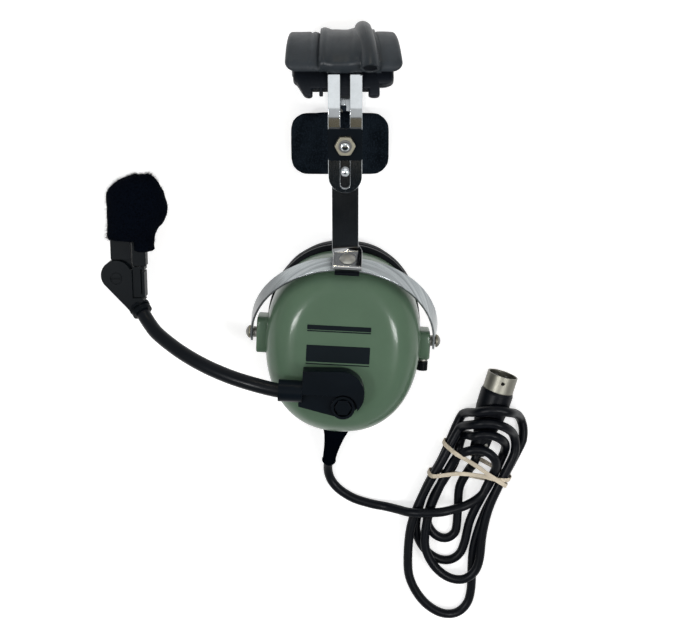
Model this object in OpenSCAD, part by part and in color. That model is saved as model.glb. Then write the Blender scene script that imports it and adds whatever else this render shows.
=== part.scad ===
// Single-ear aviation headset, lying on a table on its ear seal.
// +Z is up, +X to the right of the ear cup, +Y towards the crown of the headband.
// Millimetres. Most pieces are placed from the centre of the ear cup's footprint.

/* [Ear cup] */
// Width of the ear dome
dome_w = 86; // [82:1:90]
// Length of the ear dome
dome_l = 102; // [98:1:108]
// Height of the dome above its seal plate
dome_h = 40.5; // [38:0.5:41]
// Thickness of the dome's wall
dome_wall = 2.5; // [2:0.1:3]
// Thickness of the ear seal
seal_h = 18; // [16:1:20]
// Turn of the ear cup against the headband, in degrees
cup_turn = 3; // [0:0.5:4]

/* [Stirrup] */
// Height of the cup's pivot axis above the table
pivot_z = 30; // [29:0.5:31]
// Lean of the stirrup up from the table, in degrees
stirrup_lean = 32.3; // [31:0.5:34]
// Radius of the stirrup's bow, at mid-thickness
stirrup_r = 51; // [51:0.5:52]
// Width of the stirrup's strip
stirrup_w = 10; // [9:0.5:11]

/* [Headband] */
// Width of the lower band
lower_w = 14; // [13:0.5:15]
// Width of the slotted band
band_w = 17.5; // [17:0.5:19]
// Width of the slot
slot_w = 5; // [4.6:0.1:5.4]
// Rise of the band from the ear cup to the crown, in degrees
band_rise = 9; // [8:0.5:10]
// Radius of the crown, at the band's mid-thickness
crown_r = 30; // [29:0.5:31]

/* [Pads] */
// Width of the outer head pad
pad_w = 61; // [58:1:64]
// Thickness of the outer head pad
pad_t = 8.4; // [7:0.1:8.6]
// Width of the temple pad
temple_w = 55.5; // [52:0.5:60]
// Depth of the temple pad
temple_d = 35.5; // [32:0.5:36]

/* [Boom] */
// Diameter of the boom tube
boom_d = 7.8; // [7:0.2:8]
// Lean of the microphone head about its hinge, in degrees
mic_lean = 0; // [-2:0.5:2]

/* [Cord] */
// Diameter of the cord
cord_d = 5.2; // [5:0.1:5.3]
// Diameter of the plug's metal shell
plug_d = 18; // [17:0.5:18.5]

/* [Hidden] */
$fn = 48;

// Middle of the headset's footprint, from the centre of the ear cup
middle_x = -41.4;
middle_y = 44.6;

// Ear cup
cup_x = -1.3;
dome_y = -1;
plate_t = 3;
plate_z = seal_h;
dome_z = plate_z + plate_t;
dome_top = dome_z + dome_h;
dome_power = 2.25;
dome_sides = 56;
// Each pair is a height above the seal plate and how far the dome has drawn in there
dome_steps = [[0, 0.6], [4, 0], [14, 0.1], [22, 0.8], [28, 2.3], [33, 5], [36.5, 8], [39, 12],
    [40.2, 16.5], [40.5, 22]];
boss_face = 48;
boss_root = 41;
boss_low = dome_z;
boss_high = 38;
screw_r = 2;
fit = 0.05;

// Cross-section of the ear seal, as [across, up] from 0 to 1
seal_section = [[0, 0], [0.35, 0], [0.65, 0], [0.86, 0.1], [0.97, 0.28], [1, 0.52], [0.95, 0.78],
    [0.82, 1], [0.18, 1], [0.04, 0.8], [-0.03, 0.55], [0.02, 0.3], [0.1, 0.1]];

// Label
label_w = 34;
label_l = 21.5;
label_t = 0.4;
label_x = -2.5;
label_y = 3.1;

// Speaker
speaker_r = 20.4;

// Volume control
knob_x = 45.4;
knob_z = 28;
knob_r = 3;
pod_end = -11;

// Stirrup
strip_t = 1.2;
stirrup_top = 54.2;
bow_y = stirrup_top - stirrup_r;
tab_gap = 0.35;
tab_w = 15.4;
tab_low = -9;
tab_high = 5.4;
curl_r = 1.2;
rivet_z = -1.5;
rivet_r = 2;

// Headband: the branch frame starts at the bend of the lower band
bend_y = 52.2;
bend_z = 52.1;
band_t = 1.1;
band_lift = 1.2;
crown_start = 71;
crown_y = bend_y + crown_start * cos(band_rise) - band_lift * sin(band_rise)
    + crown_r * sin(band_rise);
crown_z = bend_z + crown_start * sin(band_rise) + band_lift * cos(band_rise)
    - crown_r * cos(band_rise);
lower_end = 62;
band_end = 31.6;
slot_end = 34;
slot_turn = 44;
plate_low = 49.4;
plate_high = 65.8;
clamp_y = 57.4;
pin_y = 42.7;
bolt_r = 2.4;

// Head pads, as angles round the crown from straight up towards +Y
outer_from = 39.5;
outer_to = 150;
inner_pad_x = 0.9;
inner_pad_w = 49;
inner_from = 10;
inner_to = 148;
wrap_x = 2.5;
wrap_w = 31;
roll_x = 10;
roll_r = 4;
roll_from = 31;
// Notches in the near edge of the inner pad, as [from x, to x, depth round the crown]
inner_notches = [[-32, -23.4, 4], [-17.6, -14.4, 8], [-11, -8.9, 8], [8.9, 12, 8], [18, 32, 6]];

// Temple pad
far_z = crown_z - crown_r;
temple_x = -3.5;
temple_y = 105.9;
temple_pin_z = 7.2;
temple_plate_z = 10.4;
temple_arm_w = 8;
temple_arm_l = 20.5;
temple_rivet_y = [118, 123];
band_flat = 12;

// Boom
boom_x = 1.6;
boom_y = -29.8;
boom_base = dome_top + 1.5;
nut_z = dome_top - 5;
step_z = dome_top + 7;
slab_z = dome_top + 11.5;
tube_y = -22.6;
tube_z = 67.6;
collar_r = 5.9;
collar_end = -33.2;
collar_root = -20.5;
tube_root = -23;
boom_route = [[-23, -22.6, 67.6], [-28.5, -22.6, 67.6], [-34, -22.6, 67.6], [-46.5, -20.5, 66.2],
    [-60, -17.8, 62.6], [-74.5, -13.8, 57], [-88.5, -8.6, 49.5], [-101.5, -2, 41], [-107.5, 3, 36],
    [-111.8, 8, 32.4]];
ear = [-126.3, 27, 30];
ear_r = 8.4;
ear_up = 1.6;
fork_t = 10;
tang_t = 4;
// Each row of the windscreen is [along, from x, to x, half its depth]
screen_rows = [[14.6, 10.6, 19.4, 5], [15.6, 9.4, 20.6, 6.6], [20.4, 9, 21, 7.8],
    [21.2, -4.2, 21, 8.8], [23.2, -5, 21.4, 10.2], [27, -4.8, 23.2, 11.6], [32, -4.6, 27, 12.6],
    [38.5, -4.6, 28.9, 13.2], [46, -4.2, 27, 12.6], [50.5, -0.8, 25, 11.6], [54, 4.6, 22.6, 9],
    [56, 9.2, 20.6, 5.6], [56.8, 12.6, 18.6, 2.4]];

// Strain relief: its route and its radii from the dome to the cord
relief_x = -0.9;
relief_z = 27.3;
relief_route = [[-0.8, -48, 28.4], [-1.3, -54, 26.3], [-2, -60, 23.4], [-2.9, -67, 18.8],
    [-3.8, -74, 13.6], [-4.5, -80.5, 9]];
relief_r = [4.4, 6.6, 5, 4, 3.4, 3.1];

// Free cord from the strain relief to the hank, from the centre of the ear cup
lead_route = [[-10, -80.2, 9], [-10.6, -84.6, 6.1], [-10.3, -90, 3.8], [-8, -96, 2.8],
    [-3, -101.5, 2.8], [5, -106.5, 2.8], [15, -109.8, 2.8], [24, -111.2, 4], [31, -111.4, 8.2],
    [37, -111.3, 12.8], [43, -111, 15], [50, -110.8, 15.2], [57, -110.4, 15], [64, -109.4, 13.2],
    [70.4, -108.2, 11.2], [77, -105, 10.1], [81.4, -101.1, 9.9], [83.06, -97.52, 9.9]];

// Hank: frame at its waist, with +Y along the plug
hank_at = [73.6, -87.3, 0];
hank_turn = -25;
hank_bow = 21.5;
waist_lift = 1.3;
// Each run of the hank, where it passes the waist: how far across, and how high
hank_runs = [[12.9, 8.6], [-12, 8.6], [19.2, 8.6], [-18.1, 8.6], [21, 2.7], [-17.4, 2.7],
    [15.2, 2.7], [-9.6, 2.7], [-2.2, 2.7]];
// Each turn of the hank: how far out, half its width, its shift across, how high it passes over
// the plug, and where along its reach it starts to climb there
hank_turns = [[17.5, 12, 0.6, 18.6, 0.05], [-66, 18.2, 4.4, 0, 0], [36, 18.4, 0.8, 22, 0.57],
    [-90, 21.6, -1.4, 0, 0], [45, 20, 1.4, 23.2, 0.57], [-60, 16.2, -3.8, 0, 0],
    [28.5, 13.6, 1.1, 20.6, 0.57], [-47, 9.6, -4.2, 0, 0]];
// Last stretch of the hank's tube, up to the back of the plug
plug_tail = [[-0.2, 0, 5.6], [-0.3, 4, 8.6], [-0.65, 7.9, 10], [-1.28, 11.8, 10]];

// Plug: its axis crosses the waist's line at plug_v and leans towards -X
plug_v = 0.6;
plug_z = 10;
plug_turn = 9;
plug_neck = plug_d / 2 - 0.4;
plug_bore = plug_d / 2 - 0.9;
plug_rear = 12;
shell_from = 48.2;
sleeve_end = 52.6;
shell_step = sleeve_end + 0.3;
plug_front = 62.6;
// Profile of the plug's body, as [radius, along]
plug_profile = [[4.4, 12], [5.2, 12.8], [6.1, 24], [8.5, 34], [9.5, 41], [9.6, 51],
    [9.1, sleeve_end]];

// Rubber band round the waist: over, under, over again and back under
band_r = 0.45;
band_route = [[-16, 9, 0.6], [-20, 9.3, 0.7], [-21.5, 9.3, 3], [-21.5, 9.3, 9], [-20, 9.2, 12.4],
    [-15.4, 8.7, 16.8], [-11.6, 8.3, 17.8], [-7.6, 7.8, 16.8], [2, 6, 14.6], [8.8, 4.5, 14.2],
    [12.8, 3.9, 14.5], [16.4, 3.2, 14.6], [19.8, 2.4, 13.4], [22.8, 1.4, 11], [24.4, 0.6, 6],
    [24, 0.2, 1.4], [20, -0.6, 0.6], [0, -5.6, 0.6], [-16, -10, 0.6], [-20, -11, 0.7],
    [-21.5, -11.2, 3], [-21.5, -11.2, 9], [-20, -11, 12.8], [-17, -9.2, 13.7], [-12, -6, 13.7],
    [-4, -2, 12.8], [7.7, 1.8, 13], [12.9, 2.7, 13.6], [16.4, 3.6, 13.4], [19.6, 4.7, 13.1],
    [22.8, 5.4, 10.6], [24.5, 5.6, 6], [24, 5.6, 1.4], [20, 5.8, 0.6], [0, 7.6, 0.6]];

// ---------------------------------------------------------------- general shapes

// Points of an oval of exponent p, w wide and l long, at height z
function oval(w, l, p, z, sides, middle = [0, 0]) = [for (k = [0 : sides - 1])
    let (a = 360 * k / sides, c = cos(a), s = sin(a))
    [middle[0] + w / 2 * sign(c) * pow(abs(c), 2 / p),
        middle[1] + l / 2 * sign(s) * pow(abs(s), 2 / p), z]];

function unit(v) = v / norm(v);

// A point on the smooth curve through four points, t of the way from b to c
function blend(a, b, c, d, t) =
    0.5 * (2 * b + (c - a) * t + (2 * a - 5 * b + 4 * c - d) * t * t
    + (3 * b - a - 3 * c + d) * t * t * t);

// A smooth path through the points, with n steps between each two
function smooth(p, n) = let (last = len(p) - 1) [
    for (i = [0 : last - 1], k = [0 : n - 1])
        blend(p[max(i - 1, 0)], p[i], p[i + 1], p[min(i + 2, last)], k / n),
    p[last]];

// The direction of a path at each point
function heading(p) = let (last = len(p) - 1)
    [for (i = [0 : last]) unit(p[min(i + 1, last)] - p[max(i - 1, 0)])];

// A side direction for each point of a path, carried along it without twisting
function level(v, t) = unit(v - (v * t) * t);
function carried(t) = [for (i = 0, v = level([0.1, 0.2, 1], t[0]); i < len(t);
    i = i + 1, v = i < len(t) ? level(v, t[i]) : v) v];

// Closed skin over rings of points, each with as many points as the next
module skin(rings) {
    sides = len(rings[0]);
    last = len(rings) - 1;
    points = [for (ring = rings) each ring];
    ends = [for (k = [1 : sides - 2]) each [[0, k, k + 1],
        [last * sides, last * sides + k + 1, last * sides + k]]];
    walls = [for (i = [0 : last - 1], k = [0 : sides - 1])
        let (a = i * sides + k, b = i * sides + (k + 1) % sides)
        each [[a, a + sides, b], [b, a + sides, b + sides]]];
    polyhedron(points, concat(ends, walls), convexity = 10);
}

// Round tube along a path, with a radius at each point
module tube(path, radii, sides) {
    t = heading(path);
    side = carried(t);
    skin([for (i = [0 : len(path) - 1]) [for (k = [0 : sides - 1])
        let (a = 360 * k / sides)
        path[i] + radii[i] * (cos(a) * side[i] + sin(a) * cross(t[i], side[i]))]]);
}

// Round tube along a closed path, which lies mostly across Y
module loop(path, r, sides) {
    n = len(path);
    points = [for (i = [0 : n - 1])
        let (t = unit(path[(i + 1) % n] - path[(i + n - 1) % n]), side = unit(cross(t, [0, 1, 0])))
        each [for (k = [0 : sides - 1])
            let (a = 360 * k / sides)
            path[i] + r * (cos(a) * side + sin(a) * cross(t, side))]];
    faces = [for (i = [0 : n - 1], k = [0 : sides - 1])
        let (j = (i + 1) % n, m = (k + 1) % sides)
        each [[i * sides + k, j * sides + k, i * sides + m],
            [i * sides + m, j * sides + k, j * sides + m]]];
    polyhedron(points, faces, convexity = 10);
}

// Rectangle with round corners, centred
module round_rect(w, l, r) {
    square([w - 2 * r, l], center = true);
    square([w, l - 2 * r], center = true);
    for (x = [-1, 1], y = [-1, 1]) {
        translate([x * (w / 2 - r), y * (l / 2 - r)]) circle(r);
    }
}

// Cylinder along X from x0 to x1
module rod_x(r, x0, x1) {
    translate([x0, 0, 0]) rotate([0, 90, 0]) cylinder(h = x1 - x0, r = r);
}

// Cylinder along Y from y0 to y1
module rod_y(r, y0, y1) {
    translate([0, y1, 0]) rotate([90, 0, 0]) cylinder(h = y1 - y0, r = r);
}

// Hexagonal prism, across its flats
module hex(across, h) {
    cylinder(h = h, r = across / sqrt(3), $fn = 6);
}

// Domed head: a slice of a ball, r wide and h high
module dome_head(r, h) {
    ball = (r * r + h * h) / (2 * h);
    intersection() {
        translate([0, 0, h - ball]) sphere(ball, $fn = 64);
        cylinder(h = h, r = r);
    }
}

// ---------------------------------------------------------------- frames

module at_origin() {
    translate([-middle_x, -middle_y, 0]) children();
}

module in_cup() {
    at_origin() translate([cup_x, 0, 0]) rotate([0, 0, -cup_turn]) children();
}

// Plane of the stirrup: +Y towards its top, +Z across its strip
module in_stirrup() {
    in_cup() translate([0, 0, pivot_z]) rotate([stirrup_lean, 0, 0]) children();
}

// Rivet between stirrup and headband: +Z outward along the rivet
module at_rivet() {
    in_stirrup() translate([0, stirrup_top, rivet_z]) rotate([-90, 0, 0]) children();
}

// Straight branch of the headband: +Y along it, +Z outward
module in_branch() {
    at_origin() translate([0, bend_y, bend_z]) rotate([band_rise, 0, 0]) children();
}

// Crown: +X along its axis, 0 degrees straight up, turning towards +Y
module in_crown() {
    at_origin() translate([0, crown_y, crown_z]) children();
}

// Turns a profile of [radius, x] round the crown between two angles
module round_crown(from, to) {
    in_crown() rotate([0, 90, 0]) rotate([0, 0, 180 - to]) rotate_extrude(angle = to - from, $fn = 120)
        children();
}

module at_ear() {
    in_cup() translate(ear) rotate([0, 0, cup_turn]) children();
}

module in_mic() {
    at_ear() rotate([0, 0, mic_lean]) children();
}

module in_hank() {
    at_origin() translate(hank_at) rotate([0, 0, hank_turn]) children();
}

// ---------------------------------------------------------------- ear cup

module dome_solid(inset, top) {
    skin([for (s = dome_steps)
        let (z = dome_z + s[0] * top / dome_h, d = 2 * (s[1] + inset))
        oval(dome_w - d, dome_l - d, dome_power, z, dome_sides, [0, dome_y])]);
}

module boss(side, low, high) {
    translate([side > 0 ? boss_root : -boss_face, (low + high) / 2, (boss_low + boss_high) / 2])
        rotate([90, 0, 90]) linear_extrude(boss_face - boss_root)
            round_rect(high - low, boss_high - boss_low, 3);
}

module ear_dome() {
    color([0.37, 0.47, 0.38]) in_cup() difference() {
        union() {
            dome_solid(0, dome_h);
            boss(-1, -10.4, 10);
            boss(1, -9, 6.4);
            translate([knob_x, 0, knob_z]) rod_y(3.8, pod_end, -3);
        }
        translate([0, 0, -0.01]) dome_solid(dome_wall, dome_h - dome_wall);
        translate([0, 0, pivot_z]) rod_x(screw_r, -boss_face - 1, -36);
        translate([0, 0, pivot_z]) rod_x(screw_r, 36, boss_face + 1);
        translate([knob_x, 0, knob_z]) rod_y(2.55, -10, -4);
        translate([knob_x, 0, knob_z]) rod_y(1.5, pod_end - 1, -9);
        translate([knob_x - 7, -8, knob_z - 1]) cube([7, 3, 2]);
        translate([boom_x, boom_y, dome_top - 6]) cylinder(h = 10, r = 1.9);
        translate([relief_x, 0, relief_z]) rod_y(4.4, -56, -46);
    }
    // Pad inside for the boom's nut
    color([0.37, 0.47, 0.38]) in_cup() translate([boom_x, boom_y, nut_z]) difference() {
        cylinder(h = dome_top - 2 - nut_z, r = 6);
        translate([0, 0, -1]) cylinder(h = 10, r = 1.9);
    }
}

module label_plate() {
    color([0.05, 0.06, 0.06]) in_cup() translate([label_x, label_y, dome_top])
        linear_extrude(label_t) round_rect(label_w, label_l, 0.8);
}

module seal_plate() {
    outline = [for (p = oval(dome_w + 1, dome_l + 1, dome_power, 0, 72, [0, dome_y])) [p[0], p[1]]];
    color([0.06, 0.06, 0.06]) in_cup() translate([0, 0, plate_z]) difference() {
        linear_extrude(plate_t) polygon(outline);
        translate([0, 0, -1]) cylinder(h = plate_t + 2, r = speaker_r + fit);
    }
}

module ear_seal() {
    stations = 44;
    outer = oval(dome_w + 2, dome_l + 2, 2.2, 0, stations, [0, dome_y]);
    inner = oval(44, 60, 2.2, 0, stations, [0, dome_y]);
    n = len(seal_section);
    points = [for (i = [0 : stations - 1], s = seal_section)
        inner[i] + (outer[i] - inner[i]) * s[0] + [0, 0, plate_z * s[1]]];
    faces = [for (i = [0 : stations - 1], k = [0 : n - 1])
        let (j = (i + 1) % stations, m = (k + 1) % n)
        each [[i * n + k, j * n + m, j * n + k], [i * n + k, i * n + m, j * n + m]]];
    color([0.05, 0.05, 0.05]) in_cup() polyhedron(points, faces, convexity = 10);
}

module speaker_frame() {
    color("silver") in_cup() translate([0, 0, plate_z + 1.2]) {
        cylinder(h = plate_t - 1.2, r = speaker_r);
        translate([0, 0, plate_t - 1.2]) cylinder(h = 1.4, r = speaker_r + 3);
        translate([0, 0, plate_t + 0.2]) cylinder(h = 4.6, r1 = speaker_r, r2 = 14);
    }
}

module speaker_magnet() {
    color("dimgray") in_cup() translate([0, 0, plate_z + 9]) cylinder(h = 8, r = 13);
}

module speaker_grille() {
    color([0.08, 0.08, 0.08]) in_cup() translate([0, 0, plate_z]) difference() {
        cylinder(h = 1.2, r = speaker_r);
        for (ring = [1 : 3], k = [0 : 6 * ring - 1]) {
            rotate([0, 0, 60 * k / ring]) translate([5 * ring, 0, -1]) cylinder(h = 4, r = 1.2, $fn = 16);
        }
    }
}

module terminal_board() {
    color("darkgreen") in_cup() translate([0, 0, plate_z + 17]) {
        translate([-17, -11, 0]) cube([34, 22, 1.6]);
        for (k = [-2 : 2]) {
            translate([6 * k, 7, 1.6]) cylinder(h = 2, r = 1.4);
        }
    }
}

module acoustic_foam() {
    color([0.25, 0.25, 0.24]) in_cup() translate([0, 9, 41]) linear_extrude(11.6)
        round_rect(52, 56, 12);
}

module volume_pot() {
    color("gray") in_cup() translate([knob_x, 0, knob_z]) difference() {
        union() {
            rod_y(2.5, -10, -4.2);
            rod_y(1.45, pod_end - 1.3, -10);
        }
        rod_y(0.85, pod_end - 2, -8.5);
    }
}

module pot_nut() {
    color("silver") in_cup() translate([knob_x, 0, knob_z]) difference() {
        rod_y(2.8, pod_end - 0.9, pod_end);
        rod_y(1.5, pod_end - 2, pod_end + 1);
    }
}

module volume_shaft() {
    color("silver") in_cup() translate([knob_x, 0, knob_z]) rod_y(0.8, -15.5, -8.6);
}

module volume_knob() {
    color([0.06, 0.06, 0.06]) in_cup() translate([knob_x, 0, knob_z]) difference() {
        rod_y(knob_r, -17.6, -12.5);
        rod_y(0.8, -15.5, -12);
        for (k = [0 : 15]) {
            rotate([0, 22.5 * k, 0]) translate([0, 0, knob_r]) rod_y(0.3, -18, -13.2, $fn = 16);
        }
    }
}

module pivot_bushings() {
    color([0.72, 0.6, 0.32]) in_cup() translate([0, 0, pivot_z]) for (s = [-1, 1]) {
        rotate([0, 0, s > 0 ? 0 : 180]) difference() {
            rod_x(3, boss_face, 50.1);
            rod_x(screw_r, 40, 60);
        }
    }
}

module pivot_screws() {
    color("silver") in_cup() translate([0, 0, pivot_z]) for (s = [-1, 1]) {
        rotate([0, 0, s > 0 ? 0 : 180]) difference() {
            union() {
                rod_x(screw_r, 37.5, 52.8);
                translate([52.8, 0, 0]) rotate([0, 90, 0]) dome_head(3.4, 1.7);
            }
            translate([53.9, -4, -0.4]) cube([2, 8, 0.8]);
        }
    }
}

module spring_washers() {
    color("silver") in_cup() translate([0, 0, pivot_z]) for (s = [-1, 1]) {
        rotate([0, 0, s > 0 ? 0 : 180]) difference() {
            rod_x(3.6, 51.9, 52.7);
            rod_x(screw_r, 50, 54);
        }
    }
}

// ---------------------------------------------------------------- stirrup

module stirrup() {
    outer = stirrup_r + strip_t / 2;
    inner = stirrup_r - strip_t / 2;
    half = stirrup_w / 2;
    color("silver") difference() {
        in_stirrup() union() {
            difference() {
                translate([0, bow_y, -half]) cylinder(h = stirrup_w, r = outer, $fn = 120);
                translate([0, bow_y, -half - 1]) cylinder(h = stirrup_w + 2, r = inner, $fn = 120);
                translate([-outer - 1, bow_y - outer - 1, -half - 1])
                    cube([2 * outer + 2, outer + 1, stirrup_w + 2]);
            }
            for (s = [-1, 1]) {
                translate([s * stirrup_r - strip_t / 2, 0, -half]) cube([strip_t, bow_y, stirrup_w]);
                translate([s * stirrup_r, 0, 0]) rod_x(half, -strip_t / 2, strip_t / 2);
            }
        }
        in_stirrup() rod_x(screw_r + fit, -60, 60);
        at_rivet() translate([0, 0, -4]) cylinder(h = 8, r = rivet_r);
    }
}

module stirrup_spacer() {
    color([0.07, 0.07, 0.07]) difference() {
        at_rivet() translate([-6.5, -8, -2.4]) cube([13, 10.4, 2.4]);
        in_stirrup() translate([0, bow_y, -10]) difference() {
            cylinder(h = 20, r = stirrup_r + 9);
            translate([0, 0, -1]) cylinder(h = 22, r = stirrup_r - strip_t / 2, $fn = 120);
        }
        at_rivet() translate([0, 0, -4]) cylinder(h = 8, r = rivet_r);
    }
}

module swivel_rivet() {
    head_z = 0.6 + tab_gap + strip_t + 0.1;
    color("silver") at_rivet() {
        translate([0, 0, head_z]) dome_head(4.2, 2.2);
        translate([0, 0, -2.4]) cylinder(h = 2.4 + head_z, r = rivet_r);
    }
}

module swivel_washer() {
    color("gray") at_rivet() translate([0, 0, 0.62]) difference() {
        cylinder(h = tab_gap - 0.1, r = 4);
        translate([0, 0, -1]) cylinder(h = 3, r = rivet_r + fit);
    }
}

// ---------------------------------------------------------------- lower band

module lower_band() {
    tab_z = 0.6 + tab_gap;
    color("silver") difference() {
        union() {
            at_rivet() {
                translate([-tab_w / 2, -(tab_high - rivet_z), tab_z])
                    cube([tab_w, tab_high - tab_low, strip_t]);
                translate([0, -(tab_high - rivet_z), tab_z + 1]) rod_x(curl_r, -tab_w / 2, tab_w / 2);
                translate([0, rivet_z - tab_low, tab_z + strip_t / 2])
                    rod_x(strip_t / 2, -tab_w / 2, tab_w / 2);
            }
            in_branch() translate([-lower_w / 2, 0.1, -strip_t / 2])
                cube([lower_w, lower_end - 0.1, strip_t]);
            in_branch() rod_x(strip_t / 2, -lower_w / 2, lower_w / 2);
        }
        at_rivet() translate([0, 0, -1]) cylinder(h = 8, r = rivet_r + fit);
        in_branch() translate([0, clamp_y, -2]) cylinder(h = 4, r = bolt_r);
        in_branch() translate([0, pin_y, -2]) cylinder(h = 4, r = 1.5);
    }
}

module clamp_plate() {
    z = band_lift + band_t / 2 + 0.2;
    color([0.07, 0.07, 0.07]) in_branch() difference() {
        translate([0, (plate_low + plate_high) / 2, z]) linear_extrude(1.8)
            round_rect(band_w + 0.2, plate_high - plate_low, 1);
        translate([0, clamp_y, 0]) cylinder(h = 6, r = bolt_r);
    }
}

module clamp_bolt() {
    color("silver") in_branch() translate([0, clamp_y, 0]) {
        translate([0, 0, -2.6]) cylinder(h = 2, r = 5.2);
        translate([0, 0, -1]) cylinder(h = 8.4, r = bolt_r);
        translate([0, 0, 7.4]) dome_head(bolt_r, 1.2);
    }
}

module clamp_nut() {
    color("silver") in_branch() translate([0, clamp_y, band_lift + band_t / 2 + 2]) difference() {
        intersection() {
            hex(9.4, 3.2);
            translate([0, 0, -2.2]) cylinder(h = 6.4, r1 = 9, r2 = 4.2);
        }
        translate([0, 0, -1]) cylinder(h = 6, r = bolt_r);
    }
}

module guide_pin() {
    color("silver") in_branch() translate([0, pin_y, 0]) {
        translate([0, 0, -1.2]) cylinder(h = 1.4, r = 1.5);
        translate([0, 0, -2]) cylinder(h = 1.4, r = 2.6);
        translate([0, 0, 0.6]) cylinder(h = 1.9, r = 2.2);
        translate([0, 0, 0.2]) cylinder(h = 0.5, r = 1.5);
        translate([0, 0, 2.5]) dome_head(2.2, 0.7);
    }
}

// ---------------------------------------------------------------- slotted band and pads

module slotted_band() {
    z = band_lift - band_t / 2 + 0.01;
    t = band_t - 0.02;
    color("silver") {
        in_branch() difference() {
            union() {
                translate([-band_w / 2, band_end + band_w / 2, z])
                    cube([band_w, crown_start + 0.3 - band_end - band_w / 2, t]);
                translate([0, band_end + band_w / 2, z]) cylinder(h = t, r = band_w / 2);
            }
            translate([-slot_w / 2, slot_end + slot_w / 2, -1]) cube([slot_w, 60, 6]);
            translate([0, slot_end + slot_w / 2, -1]) cylinder(h = 6, r = slot_w / 2);
        }
        difference() {
            round_crown(-band_rise, 180) translate([crown_r - band_t / 2, -band_w / 2])
                square([band_t, band_w]);
            round_crown(-band_rise - 1, slot_turn) translate([crown_r - 2, -slot_w / 2])
                square([4, slot_w]);
        }
        at_origin() difference() {
            translate([-band_w / 2, crown_y - band_flat, far_z - band_t / 2])
                cube([band_w, band_flat, band_t]);
            for (y = temple_rivet_y) {
                translate([temple_x, y, 0]) cylinder(h = 12, r = 1);
            }
        }
    }
}

// The outer pad's profile, as [radius, x]: flat inside, round edges, and channels outside
module pad_profile(w, inner_r, outer_r, edge) {
    difference() {
        union() {
            translate([inner_r, -w / 2 + edge]) square([outer_r - inner_r, w - 2 * edge]);
            translate([inner_r, -w / 2]) square([outer_r - inner_r - edge, w]);
            for (s = [-1, 1]) {
                translate([outer_r - edge, s * (w / 2 - edge)]) circle(edge);
            }
        }
        for (s = [-1, 1], k = [0, 1]) {
            translate([outer_r + 0.5, s * (14.4 + 3.2 * k)]) circle(1.2, $fn = 24);
        }
    }
}

module head_pad_outer() {
    inner_r = crown_r + band_t / 2 + 0.05;
    color([0.07, 0.07, 0.07]) {
        round_crown(outer_from, outer_to) pad_profile(pad_w, inner_r, inner_r + pad_t, 3);
        for (a = [outer_from, outer_to]) {
            in_crown() rotate([-a, 0, 0]) translate([0, 0, inner_r + pad_t / 2])
                rod_x(pad_t / 2 - 0.1, -pad_w / 2 + 3, pad_w / 2 - 3);
        }
    }
}

module head_pad_wrap() {
    skin_r = crown_r + band_t / 2 + 0.15 + pad_t;
    color([0.06, 0.06, 0.06]) {
        round_crown(outer_from - 3, outer_to - 2) translate([skin_r, wrap_x - wrap_w / 2])
            square([1, wrap_w]);
        difference() {
            round_crown(roll_from, outer_to - 12) translate([skin_r + 1.2, roll_x]) circle(roll_r);
            round_crown(roll_from - 1, roll_from + 9) translate([skin_r + 1.2, roll_x]) circle(2.6);
            round_crown(roll_from - 4, outer_to) translate([skin_r - 8, roll_x - 9])
                square([8.5, 18]);
        }
    }
}

module head_pad_inner() {
    outer_r = crown_r - band_t / 2 - 0.15;
    color([0.05, 0.05, 0.05]) difference() {
        round_crown(inner_from, inner_to) difference() {
            translate([outer_r - 6.5, inner_pad_x - inner_pad_w / 2]) square([6.5, inner_pad_w]);
            for (k = [-1, 1]) {
                translate([outer_r - 7, 17.5 * k]) circle(1.4, $fn = 24);
            }
        }
        for (n = inner_notches) {
            in_crown() rotate([-inner_from - n[2], 0, 0]) translate([n[0], -20, 15])
                cube([n[1] - n[0], 20, 20]);
        }
    }
}

// ---------------------------------------------------------------- temple pad

module temple_arm() {
    z = far_z + band_t / 2;
    color("silver") at_origin() translate([temple_x, 0, 0]) difference() {
        union() {
            translate([-temple_arm_w / 2, temple_y, z]) cube([temple_arm_w, temple_arm_l, 1.2]);
            translate([0, temple_y, temple_pin_z]) rod_x(2.2, -temple_arm_w / 2, temple_arm_w / 2);
        }
        translate([0, temple_y, temple_pin_z]) rod_x(1.05, -10, 10);
        for (y = temple_rivet_y) {
            translate([0, y, 0]) cylinder(h = 12, r = 1);
        }
    }
}

module temple_rivets() {
    top = far_z + band_t / 2 + 1.2;
    color("silver") at_origin() translate([temple_x, 0, 0]) for (y = temple_rivet_y) {
        translate([0, y, top]) dome_head(2, 0.9);
        translate([0, y, far_z - 1.3]) cylinder(h = top - far_z + 1.4, r = 1);
    }
}

module temple_pin() {
    color("silver") at_origin() translate([temple_x, temple_y, temple_pin_z]) rod_x(1, -6.4, 6.4);
}

module temple_plate() {
    color([0.1, 0.1, 0.1]) at_origin() translate([temple_x, temple_y, 0]) difference() {
        union() {
            translate([0, 0, temple_plate_z]) linear_extrude(1.4)
                round_rect(temple_w - 6, temple_d - 6, 10);
            for (s = [-1, 1]) {
                translate([s * 5.4, 0, temple_pin_z]) rod_x(2.2, -1, 1);
                translate([s * 5.4 - 1, -2.2, temple_pin_z])
                    cube([2, 4.4, temple_plate_z - temple_pin_z + 0.5]);
            }
        }
        translate([0, 0, temple_pin_z]) rod_x(1, -10, 10);
    }
}

module temple_pad() {
    base = temple_plate_z + 1.4;
    steps = [[0, 1.8], [1.5, 0.4], [4, 0], [6.2, 0.7], [7.6, 2.2], [8.6, 5], [9.1, 9]];
    color([0.05, 0.05, 0.05]) at_origin() translate([temple_x, temple_y, base])
        skin([for (s = steps) oval(temple_w - 2 * s[1], temple_d - 2 * s[1], 3.6, s[0], 44)]);
}

// ---------------------------------------------------------------- boom

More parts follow.
